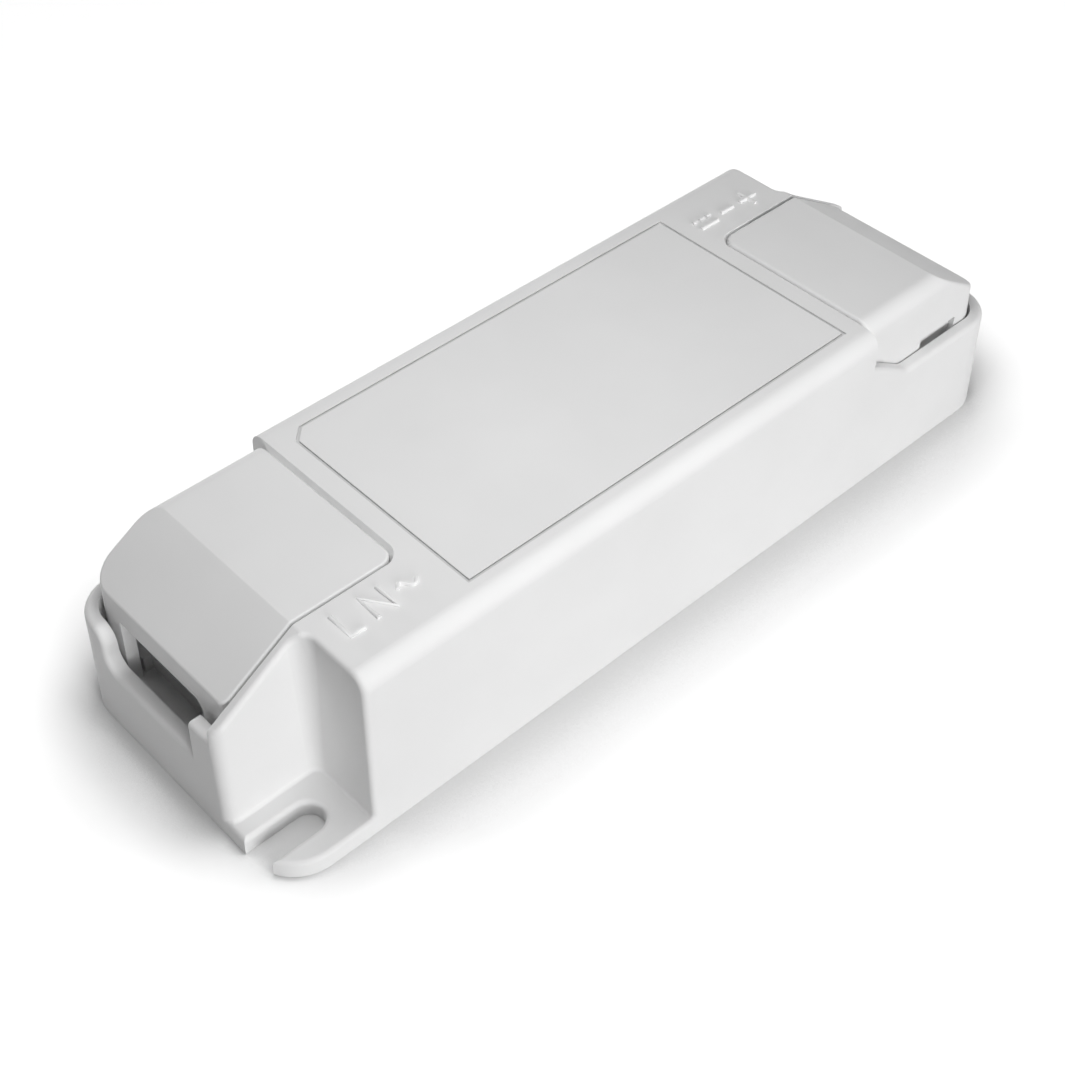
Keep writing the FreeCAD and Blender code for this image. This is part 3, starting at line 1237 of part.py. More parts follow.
def make_inductor(doc):
    """Drum core wound between two flanges."""
    x, y = circuit_place("inductor")
    radius = f"({fitted('inductor_diameter')} / 2)"
    height = fitted("inductor_height")
    flange = fitted("inductor_flange")
    drum = add_rod(doc, (x, y, BOARD_TOP), radius, height)
    waist = take(doc, add_rod(doc, (x, y, f"{BOARD_TOP} + {flange}"), f"{radius} + 1", f"{height} - 2 * {flange}"),
                 [add_rod(doc, (x, y, BOARD_TOP), f"{radius} - {fitted('inductor_waist_depth')}", height)])
    return take(doc, drum, [waist], "output_inductor")


def make_transistor(doc):
    """Upright power transistor: moulded body on a metal tab, with three leads."""
    x, y = circuit_place("transistor")
    thickness = fitted("transistor_thickness")
    tab_thickness = fitted("transistor_tab")
    lead = fitted("lead_width")
    y0 = f"({y} - {thickness} / 2)"
    low = f"({BOARD_TOP} + {fitted('transistor_lift')})"
    high = f"({low} + {fitted('transistor_length')})"
    x0, x1 = span(x, fitted("transistor_width"))
    tab = add_box(doc, (x0, y0, f"{low} + {lead}"), (x1, f"{y0} + {tab_thickness}", high))
    body = add_box(doc, (x0, f"{y0} + {tab_thickness} / 2", low),
                   (x1, f"{y0} + {thickness}", f"{low} + {fitted('transistor_body')}"))
    hole = add_rod(doc, (x, f"{y0} - 1", f"{high} - {fitted('transistor_hole_place')}"),
                   f"{fitted('transistor_hole')} / 2", f"{tab_thickness} + 2", "Y")
    pitch = fitted("transistor_pitch")
    legs = add_legs(doc, [x, f"({x} - {pitch})", f"({x} + {pitch})"], [f"({y} + {tab_thickness} / 2)"],
                    f"{low} + {lead}")
    return take(doc, join(doc, [tab, body] + legs), [hole], "switching_transistor")


def make_diode(doc):
    """Flat power diode on its soldered tab, with two legs."""
    x, y = circuit_place("diode")
    tab_thickness = fitted("diode_tab")
    x0, x1 = span(x, fitted("diode_length"))
    y0, y1 = span(y, fitted("diode_width"))
    body_x0 = f"({x0} + 2 * {tab_thickness})"
    body_x1 = f"({body_x0} + {fitted('diode_body')})"
    tab = add_box(doc, (x0, f"{y0} + {tab_thickness}", BOARD_TOP),
                  (f"{body_x1} - {tab_thickness}", f"{y1} - {tab_thickness}", f"{BOARD_TOP} + {tab_thickness}"))
    body = add_box(doc, (body_x0, y0, f"{BOARD_TOP} + {tab_thickness} / 4"),
                   (body_x1, y1, f"{BOARD_TOP} + {fitted('diode_thickness')}"))
    legs = []
    for row in either_side(y, fitted("diode_pitch")):
        leg_y0, leg_y1 = span(row, fitted("lead_width"))
        legs.append(add_box(doc, (f"{body_x1} - {tab_thickness}", leg_y0, BOARD_TOP),
                            (x1, leg_y1, f"{BOARD_TOP} + {tab_thickness}")))
    return join(doc, [tab, body] + legs, "output_diode")


def make_circuit(doc):
    return [
        make_fuse(doc),
        make_disc(doc, "varistor", "varistor", "Y"),
        make_filter_capacitor(doc),
        *make_choke(doc),
        make_chip(doc, "bridge_rectifier", "bridge", 2),
        make_bulk_capacitor(doc),
        *make_transformer(doc),
        make_transistor(doc),
        make_chip(doc, "controller_chip", "controller", 4),
        make_resistors(doc),
        make_disc(doc, "safety_capacitor", "safety", "X"),
        make_diode(doc),
        make_output_capacitors(doc),
        make_inductor(doc),
        make_chip(doc, "optocoupler", "coupler", 2),
    ]


def main():
    doc = FreeCAD.newDocument("led_driver")
    make_sheet(doc)
    pieces = [make_housing(doc)]
    for end in ("input", "output"):
        cover = make_cover(doc, f"{end}_cover")
        clamp = make_cable_clamp(doc, f"{end}_cable_clamp")
        block = make_terminal_block(doc, f"{end}_terminal_block")
        cages = make_terminal_cages(doc, f"{end}_terminal_cages")
        for piece in (cover, clamp, block, cages):
            if end == "output":
                turn_round(piece)
            pieces.append(piece)
    pieces += [make_bottom_plate(doc), make_bottom_screws(doc), *make_sheet_and_board(doc), make_clamp_screws(doc),
               make_terminal_screws(doc), *make_circuit(doc)]
    doc.recompute()
    for obj in doc.Objects:
        if "Invalid" in obj.State or "Error" in obj.State:
            raise RuntimeError(f"{obj.Name} is in state {obj.State}")
    os.makedirs("parts", exist_ok=True)
    for piece in pieces:
        shape = piece.Shape
        if shape.isNull() or not shape.isValid():
            raise RuntimeError(f"{piece.Label} has no valid shape")
        shape.exportStep(f"parts/{piece.Label}.step")
        print(piece.Label, len(shape.Solids), round(shape.Volume, 1), shape.BoundBox)


main()
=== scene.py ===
import json
import math

import bmesh
import bpy
from mathutils import Matrix, Vector
from mathutils.geometry import tessellate_polygon


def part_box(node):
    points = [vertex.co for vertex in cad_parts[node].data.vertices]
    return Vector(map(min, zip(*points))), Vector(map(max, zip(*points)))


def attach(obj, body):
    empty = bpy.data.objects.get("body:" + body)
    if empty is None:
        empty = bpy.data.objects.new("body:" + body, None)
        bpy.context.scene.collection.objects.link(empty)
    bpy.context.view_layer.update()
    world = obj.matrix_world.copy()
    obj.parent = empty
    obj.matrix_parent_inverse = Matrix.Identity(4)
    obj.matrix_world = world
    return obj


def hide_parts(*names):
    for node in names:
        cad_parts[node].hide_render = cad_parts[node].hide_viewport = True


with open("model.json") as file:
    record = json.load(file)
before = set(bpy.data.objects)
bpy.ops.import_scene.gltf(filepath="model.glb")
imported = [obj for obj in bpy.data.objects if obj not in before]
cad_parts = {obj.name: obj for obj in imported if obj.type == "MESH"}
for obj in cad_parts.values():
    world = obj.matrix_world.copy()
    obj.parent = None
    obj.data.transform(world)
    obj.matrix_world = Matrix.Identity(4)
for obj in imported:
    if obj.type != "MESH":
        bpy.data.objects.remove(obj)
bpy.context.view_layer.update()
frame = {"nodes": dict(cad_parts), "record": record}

# Places and sizes of the forms are in millimetres, those of the studio in metres
MM = 0.001


def corners_of(node):
    """Lowest and highest corner of a solid, in mm."""
    return [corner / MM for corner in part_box(node)]


LOWEST, HIGHEST = corners_of("housing")
TOP_HEIGHT = HIGHEST.z

# Camera of the photograph, worked out from its straight edges: its place, its heading from +Y towards +X,
# how far it looks down, and its roll
CAMERA_PLACE = Vector((-116.871, -117.622, 166.206)) * MM
CAMERA_HEADING = math.radians(43.25801)
CAMERA_DIP = math.radians(45.37947)
CAMERA_ROLL = math.radians(0.43863)
IMAGE_SIDE = 1065.0
FOCAL_PIXELS = 1738.075
CENTRE_COLUMN = 537.759
CENTRE_ROW = 533.304
SENSOR = 36.0
NEAREST_SEEN = 0.01
FARTHEST_SEEN = 20

# Studio: two soft panels close above the object, as name, place, side (m) and power (W)
PANELS = [
    ("front_panel", (-0.048, -0.062, 0.21), 0.12, 0.112),
    ("middle_panel", (-0.009, -0.012, 0.145), 0.06, 0.068),
]
# Suns nearly level with the long sides, as name, direction from -Y towards +X, height over the floor,
# spread (radians) and power
SUNS = [
    ("side_light", math.radians(-8), math.radians(3), 0.75, 3.4),
    ("back_light", math.radians(180), math.radians(0.5), 0.25, 2.6),
]
WHITE = (1, 1, 1, 1)
WORLD_LEVEL = 0.085

# Floor: white to the camera but for a soft shadow, which fades out at SHADOW_REACH (m). The share of the sky
# that the object hides from the floor, times SHADOW_DEPTH, is taken off the glow
FLOOR_SIDE = 6.0
FLOOR_GAP = 0.00002
FLOOR_COLOUR = (0.72, 0.72, 0.72, 1)
FLOOR_GLOW = 0.78
SHADOW_REACH = 0.025
SHADOW_DEPTH = 2.5
SHADOW_SAMPLES = 8


def link_object(name, data):
    """Adds an object to the scene."""
    linked = bpy.data.objects.new(name, data)
    bpy.context.scene.collection.objects.link(linked)
    return linked


def mesh_object(name, bm, material):
    """Makes a finished bmesh an object of one material."""
    mesh = bpy.data.meshes.new(name)
    bm.to_mesh(mesh)
    bm.free()
    mesh.materials.append(material)
    return link_object(name, mesh)


def smooth_up_to(piece, angle):
    """Shades a piece smooth, except over edges that turn by more than an angle."""
    for face in piece.data.polygons:
        face.use_smooth = True
    piece.data.set_sharp_from_angle(angle=angle)


def make_camera():
    """The photograph's own camera."""
    data = bpy.data.cameras.new("photo_camera")
    data.sensor_fit = "HORIZONTAL"
    data.sensor_width = SENSOR
    data.lens = FOCAL_PIXELS / IMAGE_SIDE * SENSOR
    data.shift_x = (IMAGE_SIDE / 2 - CENTRE_COLUMN) / IMAGE_SIDE
    data.shift_y = (CENTRE_ROW - IMAGE_SIDE / 2) / IMAGE_SIDE
    data.clip_start = NEAREST_SEEN
    data.clip_end = FARTHEST_SEEN
    camera = link_object("photo_camera", data)
    heading = Matrix.Rotation(-CAMERA_HEADING, 4, "Z")
    tilt = Matrix.Rotation(math.pi / 2 - CAMERA_DIP, 4, "X")
    roll = Matrix.Rotation(CAMERA_ROLL, 4, "Z")
    camera.matrix_world = Matrix.Translation(CAMERA_PLACE) @ heading @ tilt @ roll
    bpy.context.scene.camera = camera


def calculate(tree, operation, first, second):
    """Output of a math node that two others feed."""
    node = tree.nodes.new("ShaderNodeMath")
    node.operation = operation
    tree.links.new(first, node.inputs[0])
    tree.links.new(second, node.inputs[1])
    return node.outputs[0]


def camera_ray_mix(tree, seen, unseen, target):
    """Shows one shader to camera, mirror and clear rays, and another to all else."""
    path = tree.nodes.new("ShaderNodeLightPath").outputs
    glossy = calculate(tree, "MAXIMUM", path["Is Camera Ray"], path["Is Glossy Ray"])
    clear = calculate(tree, "MAXIMUM", glossy, path["Is Transmission Ray"])
    mix = tree.nodes.new("ShaderNodeMixShader")
    tree.links.new(clear, mix.inputs[0])
    tree.links.new(unseen, mix.inputs[1])
    tree.links.new(seen, mix.inputs[2])
    tree.links.new(mix.outputs[0], target)


def make_world():
    """White behind the object, and a faint even light on it."""
    world = bpy.data.worlds.new("studio_world")
    world.use_nodes = True
    tree = world.node_tree
    tree.nodes.clear()
    output = tree.nodes.new("ShaderNodeOutputWorld")
    white = tree.nodes.new("ShaderNodeBackground")
    white.inputs["Color"].default_value = WHITE
    white.inputs["Strength"].default_value = 1.0
    light = tree.nodes.new("ShaderNodeBackground")
    light.inputs["Color"].default_value = WHITE
    light.inputs["Strength"].default_value = WORLD_LEVEL
    camera_ray_mix(tree, white.outputs[0], light.outputs[0], output.inputs["Surface"])
    bpy.context.scene.world = world


def add_lamp(name, kind, place, target, power):
    """A lamp at a place, aimed at a target and not seen itself."""
    data = bpy.data.lights.new(name, kind)
    data.energy = power
    lamp = link_object(name, data)
    lamp.location = place
    lamp.rotation_euler = (Vector(target) - Vector(place)).to_track_quat("-Z", "Y").to_euler()
    lamp.visible_camera = False
    return lamp


def make_lamps():
    """The panels shine straight down, the suns nearly level."""
    for name, place, side, power in PANELS:
        panel = add_lamp(name, "AREA", place, (place[0], place[1], 0), power).data
        panel.shape = "SQUARE"
        panel.size = side
    for name, angle, height, spread, power in SUNS:
        level = math.cos(height)
        place = (level * math.sin(angle), -level * math.cos(angle), math.sin(height))
        sun = add_lamp(name, "SUN", place, (0, 0, 0), power)
        sun.data.angle = spread
        sun.visible_glossy = False


def floor_paper():
    """Matt paper that glows white to the camera, less where the object stands close."""
    material = bpy.data.materials.new("floor_paper")
    material.use_nodes = True
    tree = material.node_tree
    tree.nodes.clear()
    output = tree.nodes.new("ShaderNodeOutputMaterial")
    paper = tree.nodes.new("ShaderNodeBsdfDiffuse")
    paper.inputs["Color"].default_value = FLOOR_COLOUR
    glow = tree.nodes.new("ShaderNodeEmission")
    open_sky = tree.nodes.new("ShaderNodeAmbientOcclusion")
    open_sky.samples = SHADOW_SAMPLES
    open_sky.inputs["Distance"].default_value = SHADOW_REACH
    strength = tree.nodes.new("ShaderNodeMapRange")
    strength.inputs["From Min"].default_value = 1 - 1 / SHADOW_DEPTH
    strength.inputs["To Max"].default_value = FLOOR_GLOW
    tree.links.new(open_sky.outputs["AO"], strength.inputs["Value"])
    tree.links.new(strength.outputs["Result"], glow.inputs["Strength"])
    both = tree.nodes.new("ShaderNodeAddShader")
    tree.links.new(paper.outputs[0], both.inputs[0])
    tree.links.new(glow.outputs[0], both.inputs[1])
    camera_ray_mix(tree, both.outputs[0], paper.outputs[0], output.inputs["Surface"])
    return material


def make_floor():
    """A square of paper just below the object's underside."""
    bm = bmesh.new()
    bmesh.ops.create_grid(bm, x_segments=1, y_segments=1, size=FLOOR_SIDE / 2)
    floor = mesh_object("floor", bm, floor_paper())
    floor.location.z = -FLOOR_GAP


# A noise's usual ends, between which a number and a colour drift
NUMBER_ENDS = (0.3, 0.7)
COLOUR_ENDS = (0.35, 0.65)

# Moulded plastic: noise cells per metre, how far tone and gloss drift, and the grain's bump and depth (m)
TONE_CELLS = 60
TONE_DRIFT = 0.012
GLOSS_CELLS = 400
GLOSS_DRIFT = 0.04
GRAIN_CELLS = 9000
GRAIN_DETAIL = 3
GRAIN_STRENGTH = 0.35
GRAIN_DEPTH = 0.000004

# Metal: noise cells per metre, how far its roughness falls and rises, and how dark its dull spots are
METAL_TONE_CELLS = 750
METAL_GLOSS_CELLS = 3000
METAL_SMOOTHER = 0.06
METAL_ROUGHER = 0.08
METAL_DULLER = 0.9

# Wound wire: width (m) and waver of a turn, gloss as for metal, and the painted shade in the grooves between
# turns, with their bump and depth (m)
WIRE_TURN = 0.00045
WIRE_WAVER = 0.6
WIRE_GLOSS_CELLS = 900
WIRE_SMOOTHER = 0.05
WIRE_ROUGHER = 0.08
WIRE_GROOVE_PAINTED_SHADE = 0.35
GROOVE_STRENGTH = 0.6
GROOVE_DEPTH = 0.0001
# Length of one wave of the wave texture at scale 1
WAVE_LENGTH = math.pi / 10


def new_material(name, colour, roughness, metallic=0.0):
    """A material with its node tree and its shader."""
    material = bpy.data.materials.new(name)
    material.use_nodes = True
    tree = material.node_tree
    shader = tree.nodes["Principled BSDF"]
    shader.inputs["Base Color"].default_value = (*colour, 1)
    shader.inputs["Roughness"].default_value = roughness
    shader.inputs["Metallic"].default_value = metallic
    return material, tree, shader


def object_noise(tree, scale, detail=2.0):
    """Noise fixed to the piece, at a scale in cells per metre."""
    place = tree.nodes.new("ShaderNodeTexCoord")
    noise = tree.nodes.new("ShaderNodeTexNoise")
    noise.inputs["Scale"].default_value = scale
    noise.inputs["Detail"].default_value = detail
    tree.links.new(place.outputs["Object"], noise.inputs["Vector"])
    return noise


def number_between(tree, texture, low, high, target):
    """Feeds an input with a number that drifts between two ends."""
    ramp = tree.nodes.new("ShaderNodeMapRange")
    ramp.inputs["From Min"].default_value, ramp.inputs["From Max"].default_value = NUMBER_ENDS
    ramp.inputs["To Min"].default_value = low
    ramp.inputs["To Max"].default_value = high
    tree.links.new(texture.outputs["Fac"], ramp.inputs["Value"])
    tree.links.new(ramp.outputs["Result"], target)


def colour_between(tree, texture, low, high, target):
    """Feeds an input with a colour that drifts between two ends."""
    ramp = tree.nodes.new("ShaderNodeValToRGB")
    for stop, position, colour in zip(ramp.color_ramp.elements, COLOUR_ENDS, (low, high)):
        stop.position = position
        stop.color = (*colour, 1)
    tree.links.new(texture.outputs["Fac"], ramp.inputs["Fac"])
    tree.links.new(ramp.outputs["Color"], target)


def add_bump(tree, shader, texture, strength, distance):
    """Raises and sinks the surface with a texture."""
    bump = tree.nodes.new("ShaderNodeBump")
    bump.inputs["Strength"].default_value = strength
    bump.inputs["Distance"].default_value = distance
    tree.links.new(texture.outputs["Fac"], bump.inputs["Height"])
    tree.links.new(bump.outputs["Normal"], shader.inputs["Normal"])


def moulded_plastic(name, colour, roughness=0.45, specular=0.5):
    """Satin moulded plastic: faint drift of tone, spark-eroded grain and slightly uneven gloss."""
    material, tree, shader = new_material(name, colour, roughness)
    shader.inputs["Specular IOR Level"].default_value = specular
    low = [max(c - TONE_DRIFT, 0) for c in colour]
    high = [min(c + TONE_DRIFT, 1) for c in colour]
    colour_between(tree, object_noise(tree, TONE_CELLS), low, high, shader.inputs["Base Color"])
    number_between(tree, object_noise(tree, GLOSS_CELLS), roughness - GLOSS_DRIFT, roughness + GLOSS_DRIFT,
                   shader.inputs["Roughness"])
    grain = object_noise(tree, GRAIN_CELLS, GRAIN_DETAIL)
    add_bump(tree, shader, grain, GRAIN_STRENGTH, GRAIN_DEPTH)
    return material


def metal(name, colour, roughness):
    """Bright metal with a slightly uneven surface."""
    material, tree, shader = new_material(name, colour, roughness, 1.0)
    gloss = object_noise(tree, METAL_GLOSS_CELLS)
    number_between(tree, gloss, roughness - METAL_SMOOTHER, roughness + METAL_ROUGHER,
                   shader.inputs["Roughness"])
    duller = [c * METAL_DULLER for c in colour]
    colour_between(tree, object_noise(tree, METAL_TONE_CELLS), duller, colour, shader.inputs["Base Color"])
    return material


def wound_wire(name, colour, roughness):
    """Enamelled wire in close turns, with painted shade in the grooves between them."""
    material, tree, shader = new_material(name, colour, roughness, 1.0)
    place = tree.nodes.new("ShaderNodeTexCoord")
    turns = tree.nodes.new("ShaderNodeTexWave")
    turns.inputs["Scale"].default_value = WAVE_LENGTH / WIRE_TURN
    turns.inputs["Distortion"].default_value = WIRE_WAVER
    tree.links.new(place.outputs["Object"], turns.inputs["Vector"])
    # Painted shade: the wire is darker in the grooves between its turns
    painted_groove_shade = [c * WIRE_GROOVE_PAINTED_SHADE for c in colour]
    colour_between(tree, turns, painted_groove_shade, colour, shader.inputs["Base Color"])
    gloss = object_noise(tree, WIRE_GLOSS_CELLS)
    number_between(tree, gloss, roughness - WIRE_SMOOTHER, roughness + WIRE_ROUGHER,
                   shader.inputs["Roughness"])
    add_bump(tree, shader, turns, GROOVE_STRENGTH, GROOVE_DEPTH)
    return material


# Sockets of a mix node set to colours
MIX_FIRST = 6
MIX_SECOND = 7
MIX_RESULT = 2


def inside_box(tree, box):
    """1 inside a box and 0 outside it."""
    place = tree.nodes.new("ShaderNodeTexCoord")
    split = tree.nodes.new("ShaderNodeSeparateXYZ")
    tree.links.new(place.outputs["Object"], split.inputs[0])
    inside = None
    for axis, (low, high) in enumerate(box):
        test = tree.nodes.new("ShaderNodeMath")
        test.operation = "COMPARE"
        test.inputs[1].default_value = (low + high) / 2 * MM
        test.inputs[2].default_value = (high - low) / 2 * MM
        tree.links.new(split.outputs[axis], test.inputs[0])
        within = test.outputs[0]
        inside = within if inside is None else calculate(tree, "MULTIPLY", inside, within)
    return inside


def paint_boxes(material, boxes, colour, blend="MIX"):
    """Paints a piece, or with MULTIPLY shades it, inside some boxes."""
    tree = material.node_tree
    base = tree.nodes["Principled BSDF"].inputs["Base Color"]
    for box in boxes:
        mix = tree.nodes.new("ShaderNodeMix")
        mix.data_type = "RGBA"
        mix.blend_type = blend
        tree.links.new(inside_box(tree, box), mix.inputs["Factor"])
        tree.links.new(base.links[0].from_socket, mix.inputs[MIX_FIRST])
        mix.inputs[MIX_SECOND].default_value = (*colour, 1)
        tree.links.new(mix.outputs[MIX_RESULT], base)


def box_on(node, *ends):
    """Box as low and high ends along X, Y and Z, from ends that count from a node's lowest corner."""
    return [(start + low, start + high) for start, (low, high) in zip(corners_of(node)[0], ends)]


BAND_WIDTH = 0.5


def resistor_band(middle):
    """Box round one colour band of both resistors, which lie side by side along X."""
    ends = (middle - BAND_WIDTH / 2, middle + BAND_WIDTH / 2)
    return box_on("snubber_resistors", ends, (-0.45, 5.55), (0.0, 3.0))


# Boxes inside which a piece's colour changes: painted shade on the label outline's floor, then stripes and
# bands
SHADED_GROOVE_FLOOR = ((-33, 33), (-17.3, 17.3), (TOP_HEIGHT - 0.7, TOP_HEIGHT - 0.1))
CAN_STRIPE = box_on("bulk_capacitor", (1.4, 17.7), (-0.45, 1.25), (7.3, 9.8))
OUTPUT_CAN_STRIPES = box_on("output_capacitors", (-0.2, 0.4), (-0.8, 17.2), (1.8, 12.6))
RESISTOR_BANDS = [resistor_band(x) for x in (2.8, 3.8, 4.8)]
RESISTOR_GOLD_BAND = resistor_band(6.5)

SHELL_GREY = (0.80, 0.80, 0.80)
# Painted shade, multiplied into the label outline's floor
GROOVE_PAINTED_SHADE = (0.80, 0.80, 0.80)
# Plastics and coats by slot: colour, and roughness and reflection where they aren't the usual ones
PLASTICS = {
    "housing_plastic": (SHELL_GREY, 0.42, 0.14),
    "cover_plastic": (SHELL_GREY, 0.42, 0.14),
    "plate_plastic": (SHELL_GREY, 0.55, 0.12),
    "film": ((0.82, 0.80, 0.70), 0.3),
    "board": ((0.03, 0.20, 0.07), 0.35),
    "clamp_plastic": ((0.62, 0.63, 0.63),),
    "terminal_plastic": ((0.05, 0.22, 0.10), 0.35),
    "fuse_sleeve": ((0.04, 0.04, 0.045), 0.35),
    "varistor_coat": ((0.02, 0.06, 0.32), 0.4),
    "capacitor_box": ((0.62, 0.42, 0.03), 0.35),
    "ferrite": ((0.03, 0.03, 0.032), 0.55),
    "chip_black": ((0.015, 0.015, 0.017), 0.5),
    "can_sleeve": ((0.012, 0.014, 0.02), 0.3),
    "bobbin_plastic": ((0.02, 0.02, 0.022), 0.45),
    "winding_tape": ((0.75, 0.52, 0.03), 0.25),
    "resistor_coat": ((0.12, 0.30, 0.36), 0.4),
    "disc_coat": ((0.02, 0.12, 0.36), 0.4),
    "output_can_sleeve": ((0.01, 0.02, 0.08), 0.3),
    "inductor_sleeve": ((0.02, 0.02, 0.02), 0.5),
}
METALS = {
    "screw_steel": ((0.62, 0.62, 0.63), 0.3),
    "cage_brass": ((0.72, 0.56, 0.28), 0.3),
}


def make_materials():
    """All materials by slot; the label outline's floor is darkened with painted shade, standing in for the
    shade of its narrow walls.
    """
    made = {slot: moulded_plastic(slot, *look) for slot, look in PLASTICS.items()}
    made.update({slot: metal(slot, *look) for slot, look in METALS.items()})
    made["copper_wire"] = wound_wire("copper_wire", (0.55, 0.20, 0.06), 0.3)
    # Painted shade: the housing is multiplied darker on the label outline's floor
    paint_boxes(made["housing_plastic"], [SHADED_GROOVE_FLOOR], GROOVE_PAINTED_SHADE, "MULTIPLY")
    paint_boxes(made["can_sleeve"], [CAN_STRIPE], (0.45, 0.46, 0.48))
    paint_boxes(made["output_can_sleeve"], [OUTPUT_CAN_STRIPES], (0.50, 0.50, 0.46))
    paint_boxes(made["resistor_coat"], RESISTOR_BANDS, (0.20, 0.03, 0.01))
    paint_boxes(made["resistor_coat"], [RESISTOR_GOLD_BAND], (0.50, 0.30, 0.05))
    return made


def dress_nodes(made):
    """Gives each solid the material of its slot."""
    slots = {entry["node"]: entry["material_slot"] for entry in frame["record"]["subparts"]}
    for name, node in frame["nodes"].items():
        node.data.materials.clear()
        node.data.materials.append(made[slots[name]])


# Raised marks of the terminals, as strokes along and up a row that starts at its first sign
MARK_HEIGHT = 3.78
MARK_MIDDLE = MARK_HEIGHT / 2
MARK_START = LOWEST.xy + Vector((16.6, 6.87))
MARK_STROKE = 0.58
MARK_RAISED = 0.34
MARK_ROUNDNESS = 4
PLUS_ARM = 1.6
DIRECT_SIGN_RISE = 0.8
WAVE_POINTS = 16


def wave_stroke(left, width, height, middle):
    """One full wave, as for alternating current."""
    return [(left + width * i / WAVE_POINTS, middle + height * math.sin(2 * math.pi * i / WAVE_POINTS))
            for i in range(WAVE_POINTS + 1)]


def level_stroke(left, right, height):
    """A bar along the row."""
    return [(left, height), (right, height)]


# Letters L and N and a wave
INPUT_MARKS = [
    [(0.2, MARK_HEIGHT), (0.2, 0.0), (2.1, 0.0)],
    [(4.1, 0.0), (4.1, MARK_HEIGHT), (6.7, 0.0), (6.7, MARK_HEIGHT)],
    wave_stroke(8.3, 2.6, 0.62, MARK_MIDDLE),
]
# Plus, minus, and a line over a dashed one for direct current
OUTPUT_MARKS = [
    level_stroke(0.2, 3.4, MARK_MIDDLE),
    [(1.8, MARK_MIDDLE - PLUS_ARM), (1.8, MARK_MIDDLE + PLUS_ARM)],
    level_stroke(4.8, 7.2, MARK_MIDDLE),
    level_stroke(8.6, 12.0, MARK_MIDDLE + DIRECT_SIGN_RISE),
    level_stroke(8.6, 9.4, MARK_MIDDLE - DIRECT_SIGN_RISE),
    level_stroke(9.9, 10.7, MARK_MIDDLE - DIRECT_SIGN_RISE),
    level_stroke(11.2, 12.0, MARK_MIDDLE - DIRECT_SIGN_RISE),
]


def add_marks(name, strokes, turned, material):
    """Rounded strokes that stand out of the top, as one row; the other end's row is turned half round."""
    data = bpy.data.curves.new(name, "CURVE")
    data.dimensions = "3D"
    data.bevel_depth = MARK_STROKE / 2 * MM
    data.bevel_resolution = MARK_ROUNDNESS
    data.use_fill_caps = True
    data.materials.append(material)
    height = (TOP_HEIGHT + MARK_RAISED - MARK_STROKE / 2) * MM
    for stroke in strokes:
        spline = data.splines.new("POLY")
        spline.points.add(len(stroke) - 1)
        for point, (along, up) in zip(spline.points, stroke):
            place = (MARK_START + Vector((along, up))) * MM
            point.co = (place.x, place.y, height, 1)
    marks = link_object(name, data)
    if turned:
        marks.rotation_euler.z = math.pi
    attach(marks, "root")


# Bay's upper edge behind a cover: a lip that slopes from the housing's top down to the cover's rear edge
BAY_LENGTH = 28.8
BAY_WIDTH = 29.5
BAY_WALL = LOWEST.x + BAY_LENGTH
BAY_SIDE_WALL = HIGHEST.y - BAY_WIDTH
LIP_START = BAY_WALL - 0.15
LIP_START_RADIUS = 2.4
LIP_END = BAY_WALL - 0.7
LIP_END_RADIUS = 2.1
LIP_SIDE_END = BAY_SIDE_WALL + 0.2
LIP_DROP = 0.8
LIP_TAIL = 4.0
LIP_STEPS = 12
LIP_SKIRT = 1.6
LIP_OVERHANG = 0.08
LIP_SHARP = math.radians(25)
SHOULDER_RADIUS = 2.4
SHOULDER_Y = HIGHEST.y - 3.2
SHOULDER_Z = TOP_HEIGHT - SHOULDER_RADIUS
SHOULDER_FOOT = 20.5
COVER_SHOULDER_Y = SHOULDER_Y - 2.5


def shoulder_stations():
    """Upper and lower edge of the lip from the far shoulder's foot up and over it, in mm."""
    inner = SHOULDER_RADIUS - LIP_DROP
    stations = [((LIP_START, SHOULDER_Y + SHOULDER_RADIUS + LIP_OVERHANG, SHOULDER_FOOT),
                 (LIP_END, COVER_SHOULDER_Y + inner, SHOULDER_FOOT))]
    for step in range(LIP_STEPS + 1):
        turn = math.pi / 2 * step / LIP_STEPS
        across, up = math.cos(turn), math.sin(turn)
        upper = (LIP_START, SHOULDER_Y + SHOULDER_RADIUS * across, SHOULDER_Z + SHOULDER_RADIUS * up)
        lower = (LIP_END, COVER_SHOULDER_Y + inner * across, SHOULDER_Z + inner * up)
        stations.append((upper, lower))
    return stations


def corner_stations():
    """The same two edges round the bay's near corner, then along its side until they meet."""
    low = TOP_HEIGHT - LIP_DROP
    stations = []
    for step in range(LIP_STEPS + 1):
        turn = math.pi / 2 * step / LIP_STEPS
        back, along = 1 - math.cos(turn), 1 - math.sin(turn)
        upper = (LIP_START - LIP_START_RADIUS * back, BAY_SIDE_WALL + LIP_START_RADIUS * along, TOP_HEIGHT)
        lower = (LIP_END - LIP_END_RADIUS * back, LIP_SIDE_END + LIP_END_RADIUS * along, low)
        stations.append((upper, lower))
    upper, lower = stations[-1]
    for step in range(1, LIP_STEPS + 1):
        share = step / LIP_STEPS
        fade = 1 - share * share * (3 - 2 * share)
        side = BAY_SIDE_WALL + (lower[1] - BAY_SIDE_WALL) * fade
        stations.append(((upper[0] - LIP_TAIL * share, BAY_SIDE_WALL, TOP_HEIGHT),
                         (lower[0] - LIP_TAIL * share, side, TOP_HEIGHT - LIP_DROP * fade)))
    return stations


